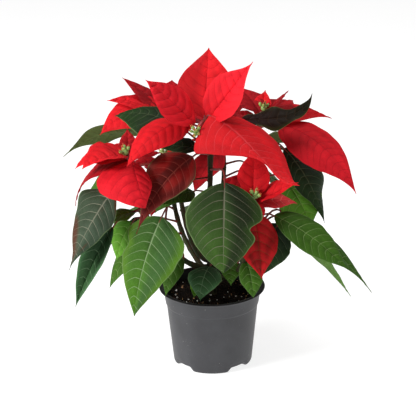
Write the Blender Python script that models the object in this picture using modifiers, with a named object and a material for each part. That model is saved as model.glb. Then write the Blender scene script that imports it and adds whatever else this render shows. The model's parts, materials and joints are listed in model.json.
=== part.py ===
"""A potted poinsettia: a pinched plant with seven red blooms in a plastic grower pot.

Sizes are in millimetres and degrees and become metres when a mesh is made. The origin is
the middle of the flat floor under the pot, +Z is up, and -Y is the plant's front.
"""
import math
import random

import bmesh
import bpy
from mathutils import Matrix, Vector

MM = 0.001
CLEARANCE = 0.3            # between two pieces that touch
GOLDEN_ANGLE = 137.5       # from one leaf to the next round a stem

# Pot, a thin thermoformed shell
RIM_RADIUS = 57.0
POT_HEIGHT = 86.0
POT_WALL = 1.2
BASE_RADIUS = 42.8
FLOOR_FLAT_RADIUS = 33.0   # inside this the floor is flat
FOOT_NOTCHES = 4
NOTCH_HEIGHT = 4.5
NOTCH_WIDTH = 32.0         # degrees
NOTCH_START = -49.0        # heading of the first notch
DRAIN_RADIUS = 3.0
DRAIN_CIRCLE = 36.6        # radius of the circle that the drain holes lie on
POT_SIDES = 32

# Soil
SOIL_LEVEL = 76.0
SOIL_RELIEF = 1.3
SOIL_SEED = 11

# Plant
TRUNK_RADIUS = 5.0
TRUNK_TOP = 128.0
TRUNK_FOOT = 40.0          # how deep the trunk stands in the soil
STEM_RADIUS = 2.9
STALK_RADII = (2.3, 2.3, 2.4, 2.5, 2.6, 2.8)
BLADE_THICKNESS = 0.8
FINE_BLADE = 2300.0        # a blade with more length times width gets more rows
LONG_BLADE = 55.0          # a longer one gets a thicker petiole
STALKLESS = 12.0           # a shorter petiole is left out, and the blade's foot is rooted
JOINT_GAP = 0.5            # where one stem stands on another, which meet at a slight angle
CYATHIUM_RADIUS = 2.0
CYATHIUM_LENGTH = 6.0
CUSHION_RADIUS = 3.4       # the end of the flower stalk, which the cyathia crowd on


# Materials
def material(name, colour, roughness, metallic=0.0):
    made = bpy.data.materials.new(name)
    made.use_nodes = True
    shader = made.node_tree.nodes["Principled BSDF"]
    shader.inputs["Base Color"].default_value = (*colour, 1.0)
    shader.inputs["Roughness"].default_value = roughness
    shader.inputs["Metallic"].default_value = metallic
    return made


for leftover in list(bpy.data.objects):
    bpy.data.objects.remove(leftover, do_unlink=True)

plant = bpy.data.collections.new("poinsettia")
bpy.context.scene.collection.children.link(plant)
cutters = bpy.data.collections.new("cutters")
bpy.context.scene.collection.children.link(cutters)

BRACT = material("bract_red", (0.62, 0.018, 0.028), 0.5)
LEAF = material("leaf_green", (0.035, 0.12, 0.02), 0.45)
STEM = material("stem_green", (0.09, 0.10, 0.03), 0.6)
CYATHIA = material("cyathia_yellow_green", (0.48, 0.62, 0.14), 0.45)
POT_PLASTIC = material("pot_grey_plastic", (0.07, 0.07, 0.075), 0.55)
SOIL = material("potting_soil", (0.012, 0.009, 0.007), 0.95)


# Making meshes
def new_piece(name, shape, finish, home):
    """Turn a bmesh in millimetres into an object in metres."""
    bmesh.ops.transform(shape, matrix=Matrix.Scale(MM, 4), verts=shape.verts)
    mesh = bpy.data.meshes.new(name)
    shape.to_mesh(mesh)
    shape.free()
    mesh.materials.append(finish)
    mesh.shade_smooth()
    mesh.set_sharp_from_angle(angle=math.radians(40))
    piece = bpy.data.objects.new(name, mesh)
    home.objects.link(piece)
    return piece


def evaluated_mesh(piece):
    graph = bpy.context.evaluated_depsgraph_get()
    return bpy.data.meshes.new_from_object(piece.evaluated_get(graph))


def tube(name, points, radii, finish, home, bevel_resolution=1):
    """A round stem along points, with a radius at each, as a closed mesh."""
    curve = bpy.data.curves.new(name, "CURVE")
    curve.dimensions = "3D"
    curve.bevel_depth = MM
    curve.bevel_resolution = bevel_resolution
    curve.use_fill_caps = True
    spline = curve.splines.new("POLY")
    spline.points.add(len(points) - 1)
    for knot, place, radius in zip(spline.points, points, radii):
        knot.co = (*(place * MM), 1.0)
        knot.radius = radius
    drawn = bpy.data.objects.new(name + "_curve", curve)
    home.objects.link(drawn)
    welded = bmesh.new()
    welded.from_mesh(evaluated_mesh(drawn))
    bmesh.ops.remove_doubles(welded, verts=welded.verts, dist=1e-5)
    bmesh.ops.recalc_face_normals(welded, faces=welded.faces)
    bmesh.ops.transform(welded, matrix=Matrix.Scale(1.0 / MM, 4), verts=welded.verts)
    bpy.data.objects.remove(drawn, do_unlink=True)
    return new_piece(name, welded, finish, home)


def apply_modifiers(piece):
    """Put the evaluated mesh in the object's place and drop its modifiers."""
    result = evaluated_mesh(piece)
    piece.modifiers.clear()
    piece.data = result


def keep_largest_body(piece):
    """Fill any hollow that fusing sealed, and drop any loose scrap."""
    shape = bmesh.new()
    shape.from_mesh(piece.data)
    unseen = set(shape.verts)
    bodies = []
    while unseen:
        front = [unseen.pop()]
        body = list(front)
        while front:
            for edge in front.pop().link_edges:
                for vert in edge.verts:
                    if vert in unseen:
                        unseen.remove(vert)
                        body.append(vert)
                        front.append(vert)
        bodies.append(body)
    bodies.sort(key=len)
    for body in bodies[:-1]:
        bmesh.ops.delete(shape, geom=body, context="VERTS")
    shape.to_mesh(piece.data)
    shape.free()


def fuse(trunk, members, finish):
    """Join the objects of a collection to one body, and remove them."""
    if members.objects:
        join = trunk.modifiers.new("fuse", "BOOLEAN")
        join.operation = "UNION"
        join.operand_type = "COLLECTION"
        join.collection = members
        join.solver = "EXACT"
        apply_modifiers(trunk)
    for member in list(members.objects):
        bpy.data.objects.remove(member, do_unlink=True)
    bpy.data.collections.remove(members)
    trunk.data.materials.clear()
    trunk.data.materials.append(finish)
    keep_largest_body(trunk)
    return trunk


# Blades: leaves and bracts
BLADE = dict(
    rise=20.0,        # slope of the petiole
    petiole=10.0,     # its length
    turn=0.0,         # change of heading where petiole and blade meet
    slope=0.0,        # slope of the blade at its base
    bend=30.0,        # how far the slope falls from base to tip
    flick=0.0,        # how far the tip curls up again
    sweep=0.0,        # how far it curls sideways, + to the left
    length=60.0,
    width=36.0,
    roll=0.0,         # lifts the blade's left side, seen from its base
    fold=12.0,        # how far each half is raised
    cup=-18.0,        # how much further it turns towards its margin
    wave=0.05,        # height of the margin's waves, as a share of the half width
    waves=1.6,
    widest=0.4,       # how far along it is widest, as a share of the length
    taper=1.35,       # above 1.5 the tip is a long tail
    lop=0.0,          # how much wider than the mean the left half is, as a share
    skew=0.0,         # how much nearer the tip the left half is widest, and the right farther
    notch=0.0,        # depth of a lobe's notch, + in the left margin, - in the right
    notch_at=0.45,    # how far along the notch is, and how long, as shares
    notch_span=0.07,
)


def direction(heading, slope):
    a, p = math.radians(heading), math.radians(slope)
    return Vector((math.cos(p) * math.cos(a), math.cos(p) * math.sin(a), math.sin(p)))


def smooth_step(t):
    t = min(max(t, 0.0), 1.0)
    return t * t * (3.0 - 2.0 * t)


def midrib(start, heading, form):
    """Walk along petiole and blade: a list of (distance, place, heading, slope)."""
    total = form["petiole"] + form["length"]
    steps = 48
    stride = total / steps
    place = start.copy()
    walk = []
    for i in range(steps + 1):
        gone = i * stride
        if gone < form["petiole"]:
            crook = smooth_step((gone / form["petiole"] - 0.45) / 0.55)
            slope = form["rise"] + (form["slope"] - form["rise"]) * crook
            course = heading + form["turn"] * crook
        else:
            u = (gone - form["petiole"]) / form["length"]
            slope = form["slope"] - form["bend"] * u + form["flick"] * u ** 3
            course = heading + form["turn"] + form["sweep"] * u ** 3
        walk.append((gone, place.copy(), course, slope))
        place += direction(course, slope) * stride
    return walk


def at_distance(walk, gone):
    """The place, heading and slope at a distance along the walk."""
    stride = walk[1][0]
    i = min(int(gone / stride), len(walk) - 2)
    t = gone / stride - i
    near, far = walk[i], walk[i + 1]
    course, slope = (near[k] + (far[k] - near[k]) * t for k in (2, 3))
    return near[1].lerp(far[1], t), course, slope


def half_width(u, form, side):
    """Half the width at u of the way from base to tip, on the left (+1) or right (-1)."""
    widest = form["widest"] + form["skew"] * side
    if u < widest:
        share = math.sin(math.pi / 2 * u / widest) ** 0.62
    else:
        left = max(1 - u, 0.0) / (1 - widest)
        share = math.sin(math.pi / 2 * left) ** form["taper"]
    if form["notch"] * side > 0:
        depth = math.exp(-((u - form["notch_at"]) / form["notch_span"]) ** 2)
        share *= 1 - abs(form["notch"]) * depth
    return max(share * (1 + form["lop"] * side) * form["width"] / 2, 0.5)


def blade_point(walk, form, u, v):
    """A point of the blade's middle surface, u from base to tip and v across, -1 to 1."""
    place, course, slope = at_distance(walk, form["petiole"] + u * form["length"])
    a, p = math.radians(course), math.radians(slope)
    normal = Vector((-math.sin(p) * math.cos(a), -math.sin(p) * math.sin(a), math.cos(p)))
    left = Vector((-math.sin(a), math.cos(a), 0.0))
    roll = math.radians(form["roll"])
    normal, left = (normal * math.cos(roll) - left * math.sin(roll),
                    left * math.cos(roll) + normal * math.sin(roll))
    side = 1 if v >= 0 else -1
    reach = half_width(u, form, side)
    fold, cup = math.radians(form["fold"]), math.radians(form["cup"] or 1.0)
    turned = fold + cup * abs(v)
    out = reach * (math.sin(turned) - math.sin(fold)) / cup
    up = reach * (math.cos(fold) - math.cos(turned)) / cup
    up += (form["wave"] * reach * abs(v) ** 1.5
           * math.sin(2 * math.pi * form["waves"] * u + 1.3 * side))
    return place + left * out * side + normal * up


def blade(name, walk, form, finish, home):
    """A thin waved blade, its sheet split into triangles before it is thickened."""
    fine = form["length"] * form["width"] > FINE_BLADE
    across = (-1.0, -0.5, 0.0, 0.5, 1.0) if fine else (-1.0, 0.0, 1.0)
    rows = (0.08, 0.22, 0.4, 0.6, 0.82) if fine else (0.12, 0.38, 0.7)
    sheet = bmesh.new()
    rooted = form["petiole"] <= STALKLESS
    foot = sheet.verts.new(walk[0][1] if rooted else blade_point(walk, form, 0.0, 0.0))
    grid = [[sheet.verts.new(blade_point(walk, form, u, v)) for v in across] for u in rows]
    tip = sheet.verts.new(blade_point(walk, form, 1.0, 0.0))
    for j in range(len(across) - 1):
        sheet.faces.new((foot, grid[0][j], grid[0][j + 1]))
        sheet.faces.new((tip, grid[-1][j + 1], grid[-1][j]))
        for near, far in zip(grid, grid[1:]):
            corners = (near[j], far[j], far[j + 1], near[j + 1])
            if j < len(across) // 2:
                corners = corners[1:] + corners[:1]
            sheet.faces.new((corners[0], corners[1], corners[2]))
            sheet.faces.new((corners[0], corners[2], corners[3]))
    bmesh.ops.recalc_face_normals(sheet, faces=sheet.faces)
    made = new_piece(name, sheet, finish, home)
    skin = made.modifiers.new("thickness", "SOLIDIFY")
    skin.thickness = BLADE_THICKNESS * MM
    skin.offset = 0.0
    apply_modifiers(made)
    return made


def petiole(name, walk, form, finish, home):
    """The stalk, which runs on into the blade's base."""
    length = form["petiole"]
    under = 0.05 * form["length"]
    thick = 1.25 if form["length"] > LONG_BLADE else 1.0
    stations = (0.0, 0.55 * length, length, length + under)
    radii = (thick * 1.25, thick, thick * 0.95, thick * 0.7)
    places = [at_distance(walk, gone)[0] for gone in stations]
    return tube(name, places, radii, finish, home, bevel_resolution=1)


def bezier(points, steps):
    """A cubic Bezier curve as a list of points."""
    p0, p1, p2, p3 = points
    return [p0 * (1 - t) ** 3 + p1 * 3 * t * (1 - t) ** 2 + p2 * 3 * t * t * (1 - t) + p3 * t ** 3
            for t in (i / steps for i in range(steps + 1))]


def along(points, share):
    """The place at a share of the way along a list of points."""
    spans = [(b - a).length for a, b in zip(points, points[1:])]
    left = share * sum(spans)
    for a, b, span in zip(points, points[1:], spans):
        if left <= span:
            return a.lerp(b, left / span)
        left -= span
    return points[-1].copy()


def stem_with_blades(name, path, radii, rows, finish):
    """A stem and the blades that grow from it, fused to one node.

    A row is (how far along the stem, heading, the blade's own values)."""
    members = bpy.data.collections.new(name + "_members")
    bpy.context.scene.collection.children.link(members)
    for i, (share, heading, own) in enumerate(rows):
        form = {**BLADE, **own}
        walk = midrib(along(path, share), heading, form)
        if form["petiole"] > STALKLESS:
            petiole(f"{name}_petiole_{i}", walk, form, finish, members)
        blade(f"{name}_blade_{i}", walk, form, finish, members)
    stem = tube(name, path, radii, finish, plant, bevel_resolution=2)
    return fuse(stem, members, finish)


# Pot
def turned(name, profile, sides, finish, home):
    """A profile of (radius, height) turned about the pot's axis, its outer side downwards."""
    shape = bmesh.new()
    verts = [shape.verts.new((radius, 0.0, height)) for radius, height in profile]
    for a, b in zip(verts, verts[1:]):
        shape.edges.new((a, b))
    made = new_piece(name, shape, finish, home)
    screw = made.modifiers.new("turn", "SCREW")
    screw.steps = screw.render_steps = sides
    screw.use_merge_vertices = True
    screw.merge_threshold = 0.00001
    screw.use_smooth_shade = True
    apply_modifiers(made)
    return made


def notch_lift(x, y):
    """How far the foot is raised in a notch, from the heading and radius."""
    heading = math.degrees(math.atan2(y, x))
    off = (heading - NOTCH_START + 180 / FOOT_NOTCHES) % (360 / FOOT_NOTCHES) - 180 / FOOT_NOTCHES
    flank = 8.0
    across = smooth_step((NOTCH_WIDTH / 2 + flank / 2 - abs(off)) / flank)
    outward = smooth_step((math.hypot(x, y) - FLOOR_FLAT_RADIUS) / 4.0)
    return NOTCH_HEIGHT * across * outward


def build_pot():
    wall = POT_WALL
    outer = [(0.0, 0.0), (FLOOR_FLAT_RADIUS, 0.0), (37.0, 0.0), (40.8, 0.0), (42.4, 1.4),
             (BASE_RADIUS, 5.0), (49.1, 66.5), (50.1, 67.6), (52.2, 81.5), (53.2, 83.8),
             (RIM_RADIUS - 0.3, 84.4), (RIM_RADIUS, POT_HEIGHT - 0.5),
             (RIM_RADIUS - 0.6, POT_HEIGHT)]
    inner = [(52.6, POT_HEIGHT - 0.6), (51.0, 81.5), (48.9, 68.2), (47.9, 66.8),
             (BASE_RADIUS - wall, 6.5), (40.4, wall + 1.2), (37.0, wall), (FLOOR_FLAT_RADIUS, wall),
             (0.0, wall)]
    shell = turned("pot", list(reversed(outer + inner)), POT_SIDES, POT_PLASTIC, plant)
    for vert in shell.data.vertices:
        x, y, z = vert.co / MM
        if z < 8.0:
            fade = 1.0 - smooth_step((z - 4.0) / 4.0)
            vert.co.z += notch_lift(x, y) * fade * MM
    # The foot's faces are no longer flat, and inner and outer ones split alike
    foot = bmesh.new()
    foot.from_mesh(shell.data)
    low = [face for face in foot.faces if face.calc_center_median().z < 8.0 * MM]
    bmesh.ops.triangulate(foot, faces=low, quad_method="SHORT_EDGE")
    foot.to_mesh(shell.data)
    foot.free()
    for i in range(FOOT_NOTCHES):
        heading = math.radians(NOTCH_START + i * 360 / FOOT_NOTCHES)
        hole = bmesh.new()
        bmesh.ops.create_cone(hole, cap_ends=True, segments=12, radius1=DRAIN_RADIUS,
                              radius2=DRAIN_RADIUS, depth=10.0)
        bmesh.ops.translate(hole, verts=hole.verts,
                            vec=(DRAIN_CIRCLE * math.cos(heading),
                                 DRAIN_CIRCLE * math.sin(heading), 4.0))
        drain = new_piece(f"drain_{i}", hole, POT_PLASTIC, cutters)
        drain.hide_render = True
        drain.display_type = "WIRE"
    cut = shell.modifiers.new("drains", "BOOLEAN")
    cut.operation = "DIFFERENCE"
    cut.operand_type = "COLLECTION"
    cut.collection = cutters
    cut.solver = "EXACT"
    return shell


# Soil
def build_soil():
    """The root ball, which fills the pot, with a lumpy top and a hole for the trunk."""
    hole = TRUNK_RADIUS * 1.1 + CLEARANCE
    hole_floor = TRUNK_FOOT - CLEARANCE - 3.0
    floor = POT_WALL + CLEARANCE
    step = floor + NOTCH_HEIGHT + 1.6
    side = BASE_RADIUS - POT_WALL
    bore = [(0.0, hole_floor), (hole, hole_floor), (hole, SOIL_LEVEL)]
    rings = [(radius, SOIL_LEVEL) for radius in (16.0, 26.0, 36.0, 45.0)]
    outer = [(49.5, SOIL_LEVEL - 0.4), (48.3, 68.4), (47.3, 66.4), (side - 0.4, 12.0),
             (side - 1.6, step), (33.0, step), (31.5, floor), (0.0, floor)]
    ball = turned("soil", bore + rings + outer, POT_SIDES, SOIL, plant)
    draw = random.Random(SOIL_SEED)
    swells = [(draw.uniform(0.1, 0.42), draw.uniform(0, 2 * math.pi), draw.uniform(0, 6.3))
              for _ in range(6)]
    for vert in ball.data.vertices:
        x, y, z = vert.co / MM
        if z > SOIL_LEVEL - 0.1:
            lump = sum(math.sin(k * (x * math.cos(a) + y * math.sin(a)) + phase)
                       for k, a, phase in swells) / len(swells)
            vert.co.z += SOIL_RELIEF * 1.6 * lump * MM
    return ball


# Cyathia
def build_cyathia(name, foot, way, faces, buds):
    """A bloom's cluster of small urn-shaped flower heads on one low cushion.

    The cushion lies on the stalk's end, and the heads face their own way."""
    members = bpy.data.collections.new(name + "_members")
    bpy.context.scene.collection.children.link(members)
    upright = faces.to_track_quat("Z", "Y").to_matrix().to_4x4()
    heart = foot + way * (CUSHION_RADIUS + 0.2)
    cushion = bmesh.new()
    bmesh.ops.create_icosphere(cushion, subdivisions=2, radius=CUSHION_RADIUS)
    bmesh.ops.translate(cushion, verts=cushion.verts, vec=heart)
    for i in range(buds):
        heading = i * GOLDEN_ANGLE
        out = 0.0 if i == 0 else 2.9 + 0.4 * (i % 2)
        lean = 0.0 if i == 0 else 24.0
        urn = bmesh.new()
        bmesh.ops.create_icosphere(urn, subdivisions=1, radius=1.0)
        size = 1.0 - 0.06 * i
        bmesh.ops.scale(urn, verts=urn.verts, vec=(CYATHIUM_RADIUS * size, CYATHIUM_RADIUS * size,
                                                   CYATHIUM_LENGTH / 2 * size))
        bmesh.ops.translate(urn, verts=urn.verts, vec=(0.0, 0.0, CYATHIUM_LENGTH / 2 + 0.4))
        tilt = Matrix.Rotation(math.radians(lean), 4, "Y")
        spin = Matrix.Rotation(math.radians(heading), 4, "Z")
        shift = Matrix.Translation((out * math.cos(math.radians(heading)),
                                    out * math.sin(math.radians(heading)), 0.0))
        bmesh.ops.transform(urn, matrix=Matrix.Translation(heart) @ upright @ shift @ spin @ tilt,
                            verts=urn.verts)
        new_piece(f"{name}_{i}", urn, CYATHIA, members)
    return fuse(new_piece(name, cushion, CYATHIA, plant), members, CYATHIA)


# Layout of the seven shoots: where each leaves the trunk (height, heading), where its green
# stem ends, how its red stalk bends over, its crown of cyathia and the way that faces
SHOOTS = {
    "a": dict(leaves=(118, -100), seat=(0, -14, 248), bends=(-3, -32, 290), crown=(-12, -49, 273),
              faces=(-0.3, -0.7, 0.6), buds=6),
    "b": dict(leaves=(108, -155), seat=(-76, -38, 226), bends=(-81, -42, 240),
              crown=(-84, -45, 247), faces=(-0.33, -0.25, 0.91), buds=4),
    "c": dict(leaves=(113, 145), seat=(-38, 43, 247), bends=(-41, 46, 261), crown=(-43, 48, 268),
              faces=(-0.25, 0.15, 0.95), buds=4),
    "d": dict(leaves=(121, 35), seat=(51, 32, 246), bends=(54, 34, 261), crown=(56, 35, 268),
              faces=(0.22, 0.12, 0.97), buds=4),
    "e": dict(leaves=(99, -52), seat=(39, -48, 180), bends=(42, -53, 194), crown=(44, -55, 202),
              faces=(0.2, -0.3, 0.93), buds=4),
    "f": dict(leaves=(106, 80), seat=(15, 75, 206), bends=(17, 81, 220), crown=(18, 84, 228),
              faces=(0.1, 0.4, 0.91), buds=4),
    "g": dict(leaves=(98, 118), seat=(-43, 76, 183), bends=(-48, 83, 197), crown=(-50, 86, 204),
              faces=(-0.3, 0.42, 0.86), buds=4),
}

# Bracts: (share of the flower stalk, heading, own values), front ones as they grew
BRACTS = {
    "a": [
        (0.70, 76, dict(rise=66, petiole=4, slope=74, bend=4, length=71, width=60, fold=8, cup=-6,
                         taper=1.2)),
        (0.90, -174, dict(rise=20, petiole=6, slope=49, bend=8, length=68, width=40, roll=-46,
                         fold=10, widest=0.46)),
        (0.66, -10, dict(rise=44, petiole=4, slope=53, bend=0, length=77, width=50, roll=54,
                         fold=24, cup=-8, taper=1.7, lop=-0.12)),
        (0.56, 178, dict(rise=30, petiole=12, turn=39, slope=8, bend=60, length=96, width=48,
                         roll=-20, fold=-8, cup=-30, widest=0.42, lop=-0.25)),
        (0.66, -44, dict(rise=66, petiole=12, slope=-8, bend=71, flick=86, length=130, width=84,
                         roll=16, fold=-10, cup=-20, widest=0.3, skew=0.11, taper=1.3, wave=0.04,
                         lop=-0.06, notch=-0.95, notch_at=0.66, notch_span=0.28)),
        (0.50, 16, dict(rise=30, petiole=4, slope=32, bend=22, length=42, width=34, roll=8)),
        (0.45, 125, dict(rise=20, petiole=4, slope=16, bend=22, length=46, width=36)),
    ],
    "b": [
        (0.70, -76, dict(rise=0, petiole=4, slope=-14, bend=50, sweep=30, length=60, width=58,
                         roll=-8, fold=-2, cup=-24, widest=0.46, taper=0.8, lop=-0.4)),
        (0.74, -150, dict(rise=25, petiole=4, slope=22, bend=54, length=52, width=52, fold=20,
                         lop=-0.2)),
        (0.66, 176, dict(rise=30, petiole=4, slope=24, bend=76, length=60, width=38, roll=-15)),
        (0.84, 95, dict(rise=60, petiole=4, slope=62, bend=10, length=26, width=18)),
        (0.42, 164, dict(rise=8, petiole=5, slope=0, bend=84, length=88, width=36, roll=-12,
                         taper=1.6)),
        (0.62, 15, dict(rise=30, petiole=4, slope=20, bend=30, length=30, width=24)),
        (0.45, 105, dict(rise=35, petiole=4, slope=25, bend=40, length=46, width=32, roll=12)),
    ],
    "c": [
        (0.62, 152, dict(rise=36, petiole=5, slope=36, bend=10, length=66, width=36)),
        (0.72, 183, dict(rise=35, petiole=5, slope=28, bend=30, length=66, width=38, roll=-14)),
        (0.60, -156, dict(rise=32, petiole=5, slope=28, bend=74, length=84, width=54, roll=-26,
                          cup=-30)),
        (0.66, 90, dict(rise=40, petiole=5, slope=40, bend=20, length=50, width=46, roll=10)),
        (0.50, 126, dict(rise=30, petiole=5, slope=20, bend=45, length=64, width=44)),
        (0.42, 40, dict(rise=30, petiole=5, slope=20, bend=40, length=48, width=36)),
    ],
    "d": [
        (0.20, -20, dict(rise=22, petiole=24, turn=-10, slope=-6, bend=60, length=116, width=54,
                         roll=22, fold=4, cup=-16, widest=0.38, taper=1.5, lop=-0.18)),
        (0.80, 122, dict(rise=38, petiole=4, slope=38, bend=24, length=44, width=40)),
        (0.50, 76, dict(rise=40, petiole=4, slope=44, bend=6, length=37, width=22, fold=30)),
        (0.60, -16, dict(rise=38, petiole=4, slope=44, bend=-10, length=42, width=30, roll=10)),
        (0.64, 48, dict(rise=30, petiole=4, slope=24, bend=34, length=54, width=42)),
        (0.56, 4, dict(rise=20, petiole=5, slope=18, bend=40, length=74, width=38, roll=14,
                       taper=1.7)),
        (0.60, 174, dict(rise=28, petiole=4, slope=18, bend=30, length=36, width=32)),
    ],
    "e": [
        (0.78, 86, dict(rise=50, petiole=4, slope=68, bend=6, length=52, width=34, fold=16)),
        (0.66, 168, dict(rise=35, petiole=4, slope=46, bend=10, length=36, width=42, roll=-44,
                         fold=12, lop=-0.2)),
        (0.70, -6, dict(rise=25, petiole=4, slope=30, bend=6, length=48, width=32, roll=14,
                         fold=26)),
        (0.80, -50, dict(rise=10, petiole=5, slope=-50, bend=20, length=18, width=15)),
        (0.35, -62, dict(rise=0, petiole=8, turn=-12, slope=-56, bend=24, length=68, width=44,
                         fold=10, cup=-24, taper=1.2, wave=0.1)),
        (0.56, 14, dict(rise=26, petiole=4, slope=20, bend=52, length=47, width=28, roll=18,
                         cup=-34)),
    ],
}
# Bracts on the two blooms at the back follow the golden angle: first heading, count, seed
BACK_BRACTS = {"f": (40.0, 5, 5), "g": (60.0, 5, 8)}

# Leaves, as the bracts, on the leafy stems and on the trunk
LEAVES = {
    "a": [
        (0.80, -66, dict(rise=16, petiole=50, turn=-28, slope=-52, bend=34, length=92, width=78,
                         fold=6, cup=-20, widest=0.38, taper=0.85, notch=0.28, notch_at=0.52,
                         wave=0.06)),
        (0.90, 170, dict(rise=40, petiole=14, slope=12, bend=24, length=46, width=30, roll=-16)),
        (0.92, -134, dict(rise=16, petiole=26, turn=-6, slope=-20, bend=44, length=102, width=48,
                         roll=-32, fold=2, cup=-18, widest=0.26, taper=2.0, lop=-0.12)),
        (0.86, 8, dict(rise=70, petiole=58, slope=0, bend=6, flick=96, length=86, width=28,
                         roll=30, fold=8, wave=0.25, waves=2.4)),
        (0.95, 178, dict(rise=40, petiole=48, turn=-12, slope=26, bend=46, length=64, width=50,
                         roll=-18, fold=4, cup=-20, lop=0.25)),
        (0.62, -146, dict(rise=20, petiole=22, slope=4, bend=30, length=44, width=40, roll=-10)),
        (0.74, -160, dict(rise=0, petiole=26, slope=-26, bend=26, length=46, width=34, roll=-14)),
    ],
    "b": [
        (0.42, -60, dict(rise=78, petiole=66, turn=-70, slope=-50, bend=30, length=106, width=62,
                         roll=-30, fold=6, cup=-14, widest=0.25, taper=1.1, lop=0.12, notch=-0.2,
                         notch_at=0.34)),
        (0.93, -146, dict(rise=4, petiole=30, slope=-44, bend=20, length=92, width=56, roll=-26,
                         fold=-6, cup=-26, wave=0.1, waves=2.2, widest=0.28, skew=0.08, taper=1.9,
                         lop=-0.3)),
        (0.74, -168, dict(rise=-22, petiole=38, turn=28, slope=-48, bend=16, length=90, width=32,
                         roll=-30, fold=40, cup=-6, taper=1.3)),
        (0.50, 172, dict(rise=50, petiole=36, turn=8, slope=-56, bend=24, length=46, width=32,
                         roll=-60)),
        (0.70, -162, dict(rise=14, petiole=10, slope=-4, bend=24, length=38, width=34)),
        (0.20, -90, dict(rise=56, petiole=18, turn=-38, slope=-36, bend=36, length=46, width=26)),
    ],
    "c": [
        (0.94, -176, dict(rise=16, petiole=26, slope=14, bend=58, length=102, width=40, roll=46,
                         taper=1.9, wave=0.12)),
        (0.72, 176, dict(rise=10, petiole=46, turn=8, slope=-24, bend=44, length=90, width=46,
                         roll=-20)),
    ],
    "d": [
        (0.62, -24, dict(rise=26, petiole=44, slope=-50, bend=20, length=56, width=54, roll=40,
                         cup=-10)),
        (0.92, -36, dict(rise=12, petiole=34, turn=18, slope=-46, bend=30, length=92, width=52,
                         roll=28, fold=-8, cup=-26, wave=0.12, waves=2.0, taper=1.6, lop=0.4)),
        (0.97, 0, dict(rise=6, petiole=10, slope=-4, bend=40, length=34, width=28, roll=-40)),
        (0.84, 34, dict(rise=10, petiole=28, slope=-20, bend=46, length=78, width=50)),
    ],
    "e": [
        (0.84, -11, dict(rise=56, petiole=37, slope=-24, bend=24, length=92, width=42, roll=30,
                         fold=8, taper=0.95)),
        (0.84, 14, dict(rise=32, petiole=46, turn=-14, slope=-32, bend=24, length=124, width=34,
                         roll=16, taper=2.1)),
        (0.66, 28, dict(rise=38, petiole=56, turn=-24, slope=-42, bend=16, length=106, width=32,
                         roll=-30, taper=2.0)),
        (0.76, 26, dict(rise=46, petiole=66, turn=-172, slope=-62, bend=14, length=56, width=48,
                         roll=-72, taper=0.9)),
        (0.30, 60, dict(rise=66, petiole=28, turn=208, slope=-35, bend=40, length=30, width=22)),
        (0.30, -12, dict(rise=70, petiole=32, turn=-60, slope=-38, bend=46, length=40, width=26,
                         taper=1.0)),
    ],
    "trunk": [
        (0.78, -88, dict(rise=28, petiole=26, turn=-26, slope=-8, bend=84, length=43, width=38,
                         fold=4, cup=-22)),
        (0.62, -118, dict(rise=16, petiole=22, slope=-6, bend=50, length=24, width=18)),
        (0.72, 14, dict(rise=30, petiole=24, slope=0, bend=40, length=38, width=30)),
    ],
}
# Leaves of the back stems follow the golden angle too: first heading, how many, seed
BACK_LEAVES = {"f": (55.0, 5, 21), "g": (152.0, 5, 34)}


def back_bracts(first, count, seed):
    draw = random.Random(seed)
    rows = []
    for i in range(count):
        lift = 34 - 12 * i
        rows.append((0.72 - 0.06 * i, first + i * GOLDEN_ANGLE,
                     dict(rise=lift, petiole=7, slope=lift - 8, bend=draw.uniform(26, 46),
                          length=38 + 6 * i + draw.uniform(-3, 3), width=28 + 3 * i,
                          roll=draw.uniform(-8, 8))))
    return rows


def back_leaves(first, count, seed):
    draw = random.Random(seed)
    rows = []
    for i in range(count):
        heading = first + (i - (count - 1) / 2) * 150 / count
        rows.append((0.94 - 0.11 * i, heading,
                     dict(rise=16, petiole=24 + 3 * i, slope=draw.uniform(-24, -14),
                          bend=draw.uniform(40, 52), length=draw.uniform(66, 80),
                          width=draw.uniform(42, 50), roll=draw.uniform(-10, 10))))
    return rows


def build_shoot(name, leaves, seat, bends, crown, faces, buds):
    """A leafy stem from the trunk, the flower stalk with its bracts, and its cyathia."""
    height, heading = leaves
    seat, bends, crown = Vector(seat), Vector(bends), Vector(crown)
    faces = Vector(faces).normalized()
    up = Vector((0.0, 0.0, 1.0))
    out = direction(heading, 0.0)
    foot = out * (TRUNK_RADIUS + 2 * JOINT_GAP) + up * height
    path = bezier((foot, foot + out * 26, seat - up * 62, seat), 8)
    radii = [STEM_RADIUS - 0.06 * i for i in range(len(path))]
    leaf_rows = LEAVES[name] if name in LEAVES else back_leaves(*BACK_LEAVES[name])
    stem_with_blades(f"leafy_stem_{name}", path, radii, leaf_rows, LEAF)
    bract_rows = BRACTS[name] if name in BRACTS else back_bracts(*BACK_BRACTS[name])
    stalk_foot = seat + up * JOINT_GAP
    stalk = [stalk_foot] + bezier((stalk_foot + up * 4, stalk_foot + up * 9, bends, crown), 4)
    stem_with_blades(f"bracts_{name}", stalk, STALK_RADII, bract_rows, BRACT)
    # The cyathia face their own way, on the end of the stalk
    end_way = (stalk[-1] - stalk[-2]).normalized()
    build_cyathia(f"cyathia_{name}", crown + end_way * JOINT_GAP, end_way, faces, buds)


build_pot()
build_soil()
trunk_path = [Vector((0.0, 0.0, TRUNK_FOOT + (TRUNK_TOP - TRUNK_FOOT) * i / 4)) for i in range(5)]
stem_with_blades("main_stem", trunk_path, [TRUNK_RADIUS * 1.1, 5.4, 5.2, 5.0, 4.9],
                 LEAVES["trunk"], STEM)
for shoot, values in SHOOTS.items():
    build_shoot(shoot, **values)
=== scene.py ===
"""A potted poinsettia: a pinched plant with seven red blooms in a slate-grey grower pot.

The shape of every blade, stem and stalk is worked out here in millimetres, as in the CAD
model, and becomes metres when its mesh is made.
"""
import json
import math
import random

import bmesh
import bpy
import numpy as np
from mathutils import Matrix, Vector, noise

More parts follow.
